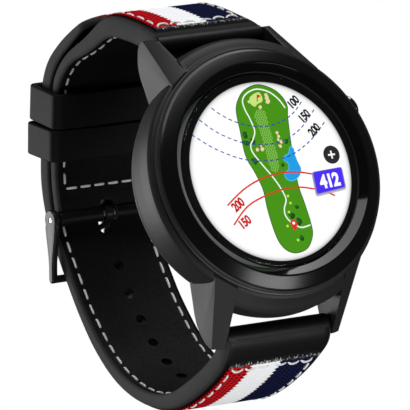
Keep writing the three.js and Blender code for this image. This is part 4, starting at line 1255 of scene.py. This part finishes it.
lining_hw = lambda hw: (lambda s: hw(s) - 0.5)
t_lin = sweep(
    "lining_lower", TAIL, stations(3.4, TL - 1.2, 0.8, 1),
    crowned_sheet(lambda s: -tail_thick(s) + 0.03, lambda s: -(tail_thick(s) - 0.5), lambda s: tail_hw(min(s, TL - 1.2)) - 0.5, 0.0, 1.25, 0.13, -1),
    [M_LINING], None, 50,
)
combine(t_lin, cutters(TAIL, HOLES, 1.0, mats=[M_LINING]) + [slot_cutter(1.25, 58, 67, 3.4, 7.4, [M_LINING])], "DIFFERENCE")
soften(t_lin, 50)
hand_over(t_lin, "tail_half", "lining", "lining_tail_half")

S_RIB0 = TAIL.find(13.4, -31.3)
rib_hw = lambda s: tail_hw(min(s + 2, TL - 0.4)) - 1.45
t_rib = sweep(
    "ribbon_lower", TAIL, stations(S_RIB0, TL - 3.2, 0.6),
    crowned_sheet(lambda s: 0.03, lambda s: 0.46, rib_hw, 0.03, 0.85, 0.12, 1),
    [M_RIBBON], None, 50,
)
combine(t_rib, cutters(TAIL, HOLES, 1.0, mats=[M_RIBBON]) + [slot_cutter(1.25, 59, 67, 3.6, 6.75, [M_RIBBON])], "DIFFERENCE")
soften(t_rib, 50)
hand_over(t_rib, "tail_half", "ribbon", "ribbon_tail_half")

# ------------------------------------------------------------------ strap, buckle half
def curved_end(mats):
    """Leather end below the roll, hollowed to follow the round case."""
    n = 48
    verts, rows = [], []
    for i in range(n + 1):
        x = -10.8 + 21.6 * i / n
        z0 = math.sqrt(23.2 ** 2 - x * x)
        loop = [(10.2, 26.9), (10.2, z0 + 1.0), (10.3, z0 + 0.4), (10.65, z0 + 0.05), (11.3, z0 + 0.0), (11.85, z0 + 0.2), (12.2, z0 + 0.8), (12.35, 26.9)]
        rows.append(list(range(len(verts), len(verts) + len(loop))))
        verts += [(x, d - BACK, z) for d, z in loop]
    k_ = len(rows[0])
    faces = []
    for i in range(n):
        for k in range(k_):
            k2 = (k + 1) % k_
            faces.append([rows[i][k], rows[i][k2], rows[i + 1][k2], rows[i + 1][k]])
    faces += [list(reversed(rows[0])), rows[-1]]
    o = new_obj("c", verts, faces, mats, smooth=False)
    fix_normals(o)
    return o


half = sweep("strap_upper", HALF, stations(0, HL, 0.8), core_section(half_thick, half_hw, 0.02), core_mats, core_pick())
combine(half, [rod_x("r", 1.8, -10.8, 10.8, 10.9, 26.6, 56, core_mats, 0.45), curved_end(core_mats), rod_x("r", 1.4, -10.45, 10.45, 58.85, 6.8, 48, core_mats, 0.35)], "UNION")
combine(
    half,
    [rod_x("r", 0.95, -12, 12, 10.9, 26.6, 28, core_mats), rod_x("r", 0.85, -12, 12, 58.85, 6.8, 28, core_mats), slot_cutter(1.5, 54, 63, 3, 9.6, core_mats)],
    "DIFFERENCE",
)
soften(half, 38)
hand_over(half, "buckle_half", "leather", "strap_buckle_half")

h_lin = sweep(
    "lining_upper", HALF, stations(3.4, HL - 2.2, 0.8),
    crowned_sheet(lambda s: -half_thick(s) + 0.03, lambda s: -(half_thick(s) - 0.5), lambda s: half_hw(s) - 0.5, 0.0, 1.25, 0.13, -1),
    [M_LINING], None, 50,
)
hand_over(h_lin, "buckle_half", "lining", "lining_buckle_half")
S_HR0, S_HR1 = HALF.find(12.2, 29.8), HALF.find(30.4, 36.0)
h_rib = sweep(
    "ribbon_upper", HALF, stations(S_HR0, S_HR1, 0.5),
    crowned_sheet(lambda s: 0.03, lambda s: 0.46, lambda s: 9.2, 0.03, 0.85, 0.12, 1),
    [M_RIBBON], None, 50,
)
hand_over(h_rib, "buckle_half", "ribbon", "ribbon_buckle_half")


# ------------------------------------------------------------------ stitching
def stitch(verts, faces, curve, r, sides=7, rings=9, sink=0.9):
    """One stitch along curve(q), q from 0 to 1, as (point, up). Its ends dive under the surface."""
    base = len(verts)
    pts = [curve(q) for q in np.linspace(0, 1, rings)]
    for i, (p, up) in enumerate(pts):
        q = i / (rings - 1)
        a, b = np.array(pts[max(i - 1, 0)][0]), np.array(pts[min(i + 1, rings - 1)][0])
        t = (b - a) / np.linalg.norm(b - a)
        u = np.array(up) - t * float(np.dot(up, t))
        u /= np.linalg.norm(u)
        w = np.cross(t, u)
        e = abs(2 * q - 1)
        lift = r * (0.45 - (sink + 0.55) * e ** 6)
        rad = r * (1 - 0.30 * e ** 4)
        c = np.array(p) + u * lift
        for k in range(sides):
            ang = 2 * math.pi * k / sides
            verts.append(tuple(c + u * (rad * math.sin(ang)) + w * (rad * 1.15 * math.cos(ang))))
    for i in range(rings - 1):
        for k in range(sides):
            k2 = (k + 1) % sides
            faces.append([base + i * sides + k, base + i * sides + k2, base + (i + 1) * sides + k2, base + (i + 1) * sides + k])
    faces.append([base + k for k in reversed(range(sides))])
    faces.append([base + (rings - 1) * sides + k for k in range(sides)])


def row_along(verts, faces, path, s0, s1, x_of, h_of, pitch=3.3, on=2.45, r=0.21, side=1, skip=()):
    n = int((s1 - s0) / pitch)
    off = (s1 - s0 - n * pitch + (pitch - on)) / 2
    for i in range(n):
        a = s0 + off + i * pitch + RNG.uniform(-0.08, 0.08)
        if any(k0 < a + on / 2 < k1 for k0, k1 in skip):
            continue
        dx = RNG.uniform(-0.05, 0.05)

        def curve(q, a=a, dx=dx):
            s = a + on * q
            x = x_of(s)
            p = path.point(s, x + (dx if x > 0 else -dx), h_of(s))
            _, nn, _ = path.at(s)
            return p, (0, nn[0] * side, nn[1] * side)

        stitch(verts, faces, curve, r * RNG.uniform(0.94, 1.06))


def row_across(verts, faces, path, s_at, x0, x1, h_of, pitch=3.3, on=2.45, r=0.21, side=1, scallop=0.0):
    n = max(1, int(round((x1 - x0) / pitch)))
    p_ = (x1 - x0) / n
    o_ = on / pitch * p_
    for i in range(n):
        a = x0 + i * p_ + (p_ - o_) / 2

        def curve(q, a=a):
            x = a + o_ * q
            s = s_at + scallop * (1 - (2 * q - 1) ** 2)
            p = path.point(s, x, h_of(s))
            _, nn, _ = path.at(s)
            return p, (0, nn[0] * side, nn[1] * side)

        stitch(verts, faces, curve, r * RNG.uniform(0.94, 1.06))


def stitching(name, body, build):
    verts, faces = [], []
    build(verts, faces)
    o = new_obj(name, verts, faces, [M_THREAD], smooth=False)
    fix_normals(o)
    soften(o, 60)
    return hand_over(o, body, "ribbon")


S_FAR = TAIL.find(63.35, -3.3)


def lower_rows(v, f):
    for sx in (1, -1):
        row_along(v, f, TAIL, S_RIB0 + 0.6, TL - 8.5, lambda s, sx=sx: sx * (rib_hw(s) - 0.85), lambda s: 0.36 - 0.2 * math.exp(-(((s - S_FAR) / 3.0) ** 2)), side=1)
        row_along(v, f, TAIL, 5.0, TL - 8.0, lambda s, sx=sx: sx * (tail_hw(s) - 1.75), lambda s: -tail_thick(s) + 0.14, side=-1)
    row_across(v, f, TAIL, S_RIB0 + 0.75, -8.5, -3.1, lambda s: 0.46, 2.7, 2.5, 0.22, 1, 0.75)
    row_across(v, f, TAIL, S_RIB0 + 0.75, 3.1, 8.5, lambda s: 0.46, 2.7, 2.5, 0.22, 1, 0.75)
    row_across(v, f, TAIL, S_RIB0 + 0.75, -3.4, 3.4, lambda s: 0.44, 3.4, 2.7, 0.2, 1, 0.5)
    # round the tip
    for i in range(9):
        a0 = math.pi * (i + 0.12) / 9
        a1 = math.pi * (i + 0.88) / 9

        def curve(q, a0=a0, a1=a1):
            a = a0 + (a1 - a0) * q
            s = TL - 7.6 + 4.0 * math.sin(a)
            x = (rib_hw(TL - 8) - 0.85) * math.cos(a)
            p = TAIL.point(s, x, 0.46)
            _, nn, _ = TAIL.at(s)
            return p, (0, nn[0], nn[1])

        stitch(v, f, curve, 0.2)


def upper_rows(v, f):
    s_cross = HL - 4.4
    for sx in (1, -1):
        row_along(v, f, HALF, S_HR0 + 0.6, S_HR1 - 0.2, lambda s, sx=sx: sx * 8.35, lambda s: 0.36, side=1)
        row_along(v, f, HALF, 5.0, s_cross, lambda s, sx=sx: sx * (half_hw(s) - 1.75), lambda s: -half_thick(s) + 0.14, side=-1)
    row_across(v, f, HALF, s_cross + 0.2, -8.7, 8.7, lambda s: -half_thick(s) + 0.03, 2.9, 2.3, 0.21, -1)
    row_across(v, f, HALF, S_HR0 + 0.75, -8.5, -3.1, lambda s: 0.46, 2.7, 2.5, 0.22, 1, 0.75)
    row_across(v, f, HALF, S_HR0 + 0.75, 3.1, 8.5, lambda s: 0.46, 2.7, 2.5, 0.22, 1, 0.75)
    row_across(v, f, HALF, S_HR0 + 0.75, -3.4, 3.4, lambda s: 0.44, 3.4, 2.7, 0.2, 1, 0.5)


stitching("stitches_lower", "tail_half", lower_rows)
stitching("stitches_upper", "buckle_half", upper_rows)


# ------------------------------------------------------------------ frayed hem at each lug end of the ribbon
def hem(name, path, s0, body):
    w = 9.3

    def section(s):
        q = (s - (s0 - 1.15)) / 1.6
        b = 0.05 + 0.36 * smooth(0, 0.45, q)
        return [(-w - 0.25, 0.0), (-w - 0.15, b * 0.8), (-w * 0.6, b), (-w * 0.2, b * 1.03), (w * 0.2, b), (w * 0.6, b * 1.03), (w + 0.15, b * 0.8), (w + 0.25, 0.0)]

    base = sweep(name + "_band", path, stations(s0 - 1.15, s0 + 0.02, 0.12), section, [M_HEM], None, 50)
    verts, faces = [], []
    bverts, bfaces = [], []
    r = random.Random(len(name) * 3 + 1)
    for i in range(620):
        x = r.uniform(-w, w)
        white = (-4.2 < x < 2.0 and r.random() < 0.4) or r.random() < 0.16
        ln = r.uniform(0.3, 0.75)
        a = r.uniform(-0.45, 0.45)
        s1 = s0 + r.uniform(-0.15, 0.3)
        rad = r.uniform(0.02, 0.042) if white else r.uniform(0.03, 0.06)

        def curve(q, x=x, a=a, ln=ln, s1=s1):
            s = s1 - ln * q
            p = path.point(s, x + a * ln * q, 0.40 - 0.16 * q * q + 0.10 * math.sin(3 * q))
            _, nn, _ = path.at(s)
            return p, (0, nn[0], nn[1])

        stitch(*((verts, faces) if white else (bverts, bfaces)), curve, rad, 4, 4, 0.2)
    A = new_obj("a", verts, faces, [M_THREAD], smooth=False)
    B = new_obj("b", bverts, bfaces, [M_FRAY_BLACK], smooth=False)
    o = join(name, [base, A, B])
    fix_normals(o)
    soften(o, 60)
    return hand_over(o, body, "ribbon")


hem("ribbon_hem_lower", TAIL, S_RIB0, "tail_half")
hem("ribbon_hem_upper", HALF, S_HR0, "buckle_half")


# ------------------------------------------------------------------ keepers
def keeper(name, s, length, body, node_name, ease):
    p, n, t = TAIL.at(s)
    hw = tail_hw(s) + ease
    wall = 1.1
    lo, hi = -(tail_thick(s) + 2.4 + 0.5 + 0.75), 1.0
    mid = rounded_loop(
        [(-hw - wall / 2, lo - wall / 2), (hw + wall / 2, lo - wall / 2), (hw + wall / 2, hi + wall / 2), (-hw - wall / 2, hi + wall / 2)],
        [1.15] * 4, 8,
    )
    # denser along the runs
    dense = []
    for i in range(len(mid)):
        a, b = np.array(mid[i]), np.array(mid[(i + 1) % len(mid)])
        k = max(1, int(np.linalg.norm(b - a) / 0.8))
        dense += [tuple(a + (b - a) * j / k) for j in range(k)]
    mid = dense
    m_ = len(mid)
    sec = rounded_loop([(-length / 2, -wall / 2), (length / 2, -wall / 2), (length / 2, wall / 2), (-length / 2, wall / 2)], [0.2, 0.2, 0.34, 0.34], 4)
    verts, rows = [], []
    for i in range(m_):
        a, b = np.array(mid[i - 1]), np.array(mid[(i + 1) % m_])
        tt = b - a
        tt = tt / np.linalg.norm(tt)
        nn = np.array([tt[1], -tt[0]])  # outwards
        row = []
        for l, h in sec:
            q = np.array(mid[i]) + nn * h
            x, hh = q
            row.append(len(verts))
            verts.append((x, p[0] + n[0] * hh + t[0] * l - BACK, p[1] + n[1] * hh + t[1] * l))
        rows.append(row)
    faces = []
    k_ = len(sec)
    for i in range(m_):
        j = (i + 1) % m_
        for k in range(k_):
            k2 = (k + 1) % k_
            faces.append([rows[i][k], rows[i][k2], rows[j][k2], rows[j][k]])
    o = new_obj(name, verts, faces, [M_KEEPER], smooth=False)
    fix_normals(o)
    soften(o, 50)
    return hand_over(o, body, "leather", node_name)


S_FIXED = TAIL.find(58.2, 21.8)
keeper("keeper_fixed", S_FIXED, 5.9, "buckle_half", "fixed_keeper", 0.7)
keeper("keeper_free", S_FIXED + 6.68, 6.5, "keeper", "free_keeper", 0.35)


# ------------------------------------------------------------------ buckle
def plate_x(name, outline, x0, x1, bevel, mats, segs=4):
    bm = bmesh.new()
    lo = [bm.verts.new(Vector((x0, d - BACK, z)) * MM) for d, z in outline]
    hi = [bm.verts.new(Vector((x1, d - BACK, z)) * MM) for d, z in outline]
    n = len(outline)
    bm.faces.new(lo)
    bm.faces.new(list(reversed(hi)))
    for k in range(n):
        bm.faces.new([lo[k], hi[k], hi[(k + 1) % n], lo[(k + 1) % n]])
    bmesh.ops.recalc_face_normals(bm, faces=bm.faces)
    sharp = [e for e in bm.edges if len(e.link_faces) == 2 and e.calc_face_angle(0) > math.radians(40)]
    bmesh.ops.bevel(bm, geom=sharp, offset=bevel * MM, offset_type="OFFSET", segments=segs, profile=0.5, affect="EDGES", clamp_overlap=True)
    bmesh.ops.recalc_face_normals(bm, faces=bm.faces)
    me = bpy.data.meshes.new(name)
    bm.to_mesh(me)
    bm.free()
    for mt in mats:
        me.materials.append(mt)
    o = bpy.data.objects.new(name, me)
    bpy.context.scene.collection.objects.link(o)
    return o


def arm_outline():
    """Round eye at the bar, then an arm that narrows in a soft curve to its far bar."""
    c0, r0, c1, r1 = np.array((58.85, 6.8)), 1.95, np.array((63.35, -3.3)), 0.72
    axis = (c1 - c0) / np.linalg.norm(c1 - c0)
    nrm = np.array([-axis[1], axis[0]])
    L = float(np.linalg.norm(c1 - c0))
    left, right = [], []
    for q in np.linspace(0, 1, 22):
        w = r1 + (r0 - r1) * (1 - smooth(0.0, 0.85, q)) ** 1.1
        c = c0 + axis * L * q
        if q * L > 0.9:
            left.append(tuple(c + nrm * w))
            right.append(tuple(c - nrm * w))
    base = math.atan2(axis[1], axis[0])
    gap = math.atan2(float(np.dot(np.array(left[0]) - c0, nrm)), float(np.dot(np.array(left[0]) - c0, axis)))
    eye = [tuple(c0 + r0 * np.array((math.cos(base + a), math.sin(base + a)))) for a in np.linspace(gap, 2 * math.pi - gap, 30)]
    end = [tuple(c1 + r1 * np.array((math.cos(base + a), math.sin(base + a)))) for a in np.linspace(-math.pi / 2, math.pi / 2, 12)]
    return eye[:-1] + right + end[1:-1] + list(reversed(left))[:-1]


outline = arm_outline()
frame_b = plate_x("buckle_loop", outline, 11.05, 12.2, 0.3, [M_BUCKLE])
arm2 = plate_x("a", outline, -12.2, -11.05, 0.3, [M_BUCKLE])
bar = rod_x("bar", 0.7, -11.6, 11.6, 63.35, -3.3, 40, [M_BUCKLE], 0.2)
combine(frame_b, [arm2, bar], "UNION")
combine(frame_b, [rod_x("h", 0.5, -13, 13, 58.85, 6.8, 28, [M_BUCKLE])], "DIFFERENCE")
soften(frame_b, 40)
hand_over(frame_b, "buckle", "buckle_metal", "buckle_frame")


def tongue_piece():
    pts = spline([(58.9, 5.55), (59.9, 5.2), (61.2, 5.05), (63.0, 4.98), (64.1, 4.65), (64.58, 3.4), (64.68, 0.8), (64.62, -1.8), (64.5, -3.9), (64.5, -4.6)], 8)
    verts, rows = [], []
    m_ = len(pts)
    for i, c in enumerate(pts):
        a, b = np.array(pts[max(i - 1, 0)]), np.array(pts[min(i + 1, m_ - 1)])
        t = (b - a) / np.linalg.norm(b - a)
        n = np.array([-t[1], t[0]])
        q = i / (m_ - 1)
        w = 0.78 - 0.16 * smooth(0.5, 1.0, q)
        th = 0.40 - 0.05 * smooth(0.5, 1.0, q)
        if q > 0.97:
            w, th = w * 0.8, th * 0.7
        row = []
        for k in range(16):
            a_ = 2 * math.pi * k / 16
            x = w * math.copysign(abs(math.cos(a_)) ** 0.6, math.cos(a_))
            h = th * math.copysign(abs(math.sin(a_)) ** 0.75, math.sin(a_))
            row.append(len(verts))
            verts.append((x, c[0] + n[0] * h - BACK, c[1] + n[1] * h))
        rows.append(row)
    faces = []
    for i in range(m_ - 1):
        for k in range(16):
            faces.append([rows[i][k], rows[i][(k + 1) % 16], rows[i + 1][(k + 1) % 16], rows[i + 1][k]])
    faces += [list(reversed(rows[0])), rows[-1]]
    o = new_obj("tongue_pin", verts, faces, [M_BUCKLE], smooth=False)
    fix_normals(o)
    eye = rod_x("e", 1.4, -0.78, 0.78, 58.85, 6.8, 40, [M_BUCKLE], 0.25)
    combine(o, [eye], "UNION")
    combine(o, [rod_x("e", 0.85, -2, 2, 58.85, 6.8, 32, [M_BUCKLE])], "DIFFERENCE")
    soften(o, 45)
    return o


hand_over(tongue_piece(), "tongue", "buckle_metal", "buckle_tongue")

# ------------------------------------------------------------------ floor, world and lights
bm = bmesh.new()
bmesh.ops.create_grid(bm, x_segments=8, y_segments=8, size=4.0)
me = bpy.data.meshes.new("floor")
bm.to_mesh(me)
bm.free()
floor = bpy.data.objects.new("floor", me)
floor.location = (0, 0, -0.24)
bpy.context.scene.collection.objects.link(floor)
mt, nt, p = principled("m_floor")
p.inputs["Base Color"].default_value = (0.82, 0.82, 0.82, 1)
p.inputs["Roughness"].default_value = 0.9
me.materials.append(mt)
floor.visible_glossy = False
floor.visible_diffuse = False
p.inputs["Emission Color"].default_value = (1, 1, 1, 1)
p.inputs["Emission Strength"].default_value = 0.62

world = bpy.data.worlds.new("studio")
bpy.context.scene.world = world
world.use_nodes = True
wt = world.node_tree
wt.nodes.clear()
out = wt.nodes.new("ShaderNodeOutputWorld")
mixw = wt.nodes.new("ShaderNodeMixShader")
lp = wt.nodes.new("ShaderNodeLightPath")
bg_cam = wt.nodes.new("ShaderNodeBackground")
bg_env = wt.nodes.new("ShaderNodeBackground")
bg_cam.inputs[0].default_value = (1, 1, 1, 1)
bg_cam.inputs[1].default_value = 1.0
bg_env.inputs[0].default_value = (1, 1, 1, 1)
bg_env.inputs[1].default_value = 0.06
wt.links.new(lp.outputs["Is Camera Ray"], mixw.inputs[0])
wt.links.new(bg_env.outputs[0], mixw.inputs[1])
wt.links.new(bg_cam.outputs[0], mixw.inputs[2])
wt.links.new(mixw.outputs[0], out.inputs["Surface"])


def area(name, at, look, size, power, size_y=None):
    la = bpy.data.lights.new(name, "AREA")
    la.energy = power
    la.shape = "RECTANGLE" if size_y else "SQUARE"
    la.size = size
    if size_y:
        la.size_y = size_y
    o = bpy.data.objects.new(name, la)
    o.location = at
    d = Vector(look) - Vector(at)
    o.rotation_euler = d.to_track_quat("-Z", "Y").to_euler()
    bpy.context.scene.collection.objects.link(o)
    return o


def softbox(name, aim, along, dist, size, size_y, power, centre=(0, 0.012, 0)):
    """Rectangular box seen in the direction aim, its long side along the direction along."""
    c = Vector(centre)
    z = Vector(aim).normalized()
    x = Vector(along)
    x = (x - z * x.dot(z)).normalized()
    y = z.cross(x)
    la = bpy.data.lights.new(name, "AREA")
    la.energy = power
    la.shape = "RECTANGLE"
    la.size, la.size_y = size, size_y
    o = bpy.data.objects.new(name, la)
    m = Matrix.Identity(4)
    for col, v in enumerate((x, y, z)):
        for r in range(3):
            m[r][col] = v[r]
    m.translation = c + z * dist
    o.matrix_world = m
    o.visible_camera = False
    bpy.context.scene.collection.objects.link(o)
    return o


softbox("box_over_front", (0.046, -0.42, 0.906), (1.11, 0.6, 0.22), 0.8, 1.25, 0.34, 8.5)
softbox("box_side_back", (-0.52, 0.83, 0.16), (0, 0, 1), 0.8, 0.5, 0.35, 4.5)
softbox("box_low_front", (0.26, -0.73, -0.60), (1, 0.3, 0), 0.26, 0.10, 0.06, 0.30)
softbox("box_low_left", (-0.35, -0.25, -0.9), (1, 0, 0), 0.19, 0.22, 0.16, 0.20)

sc = bpy.context.scene
sc.view_settings.view_transform = "Standard"
sc.view_settings.look = "None"
sc.view_settings.exposure = 0.0
sc.view_settings.gamma = 1.0
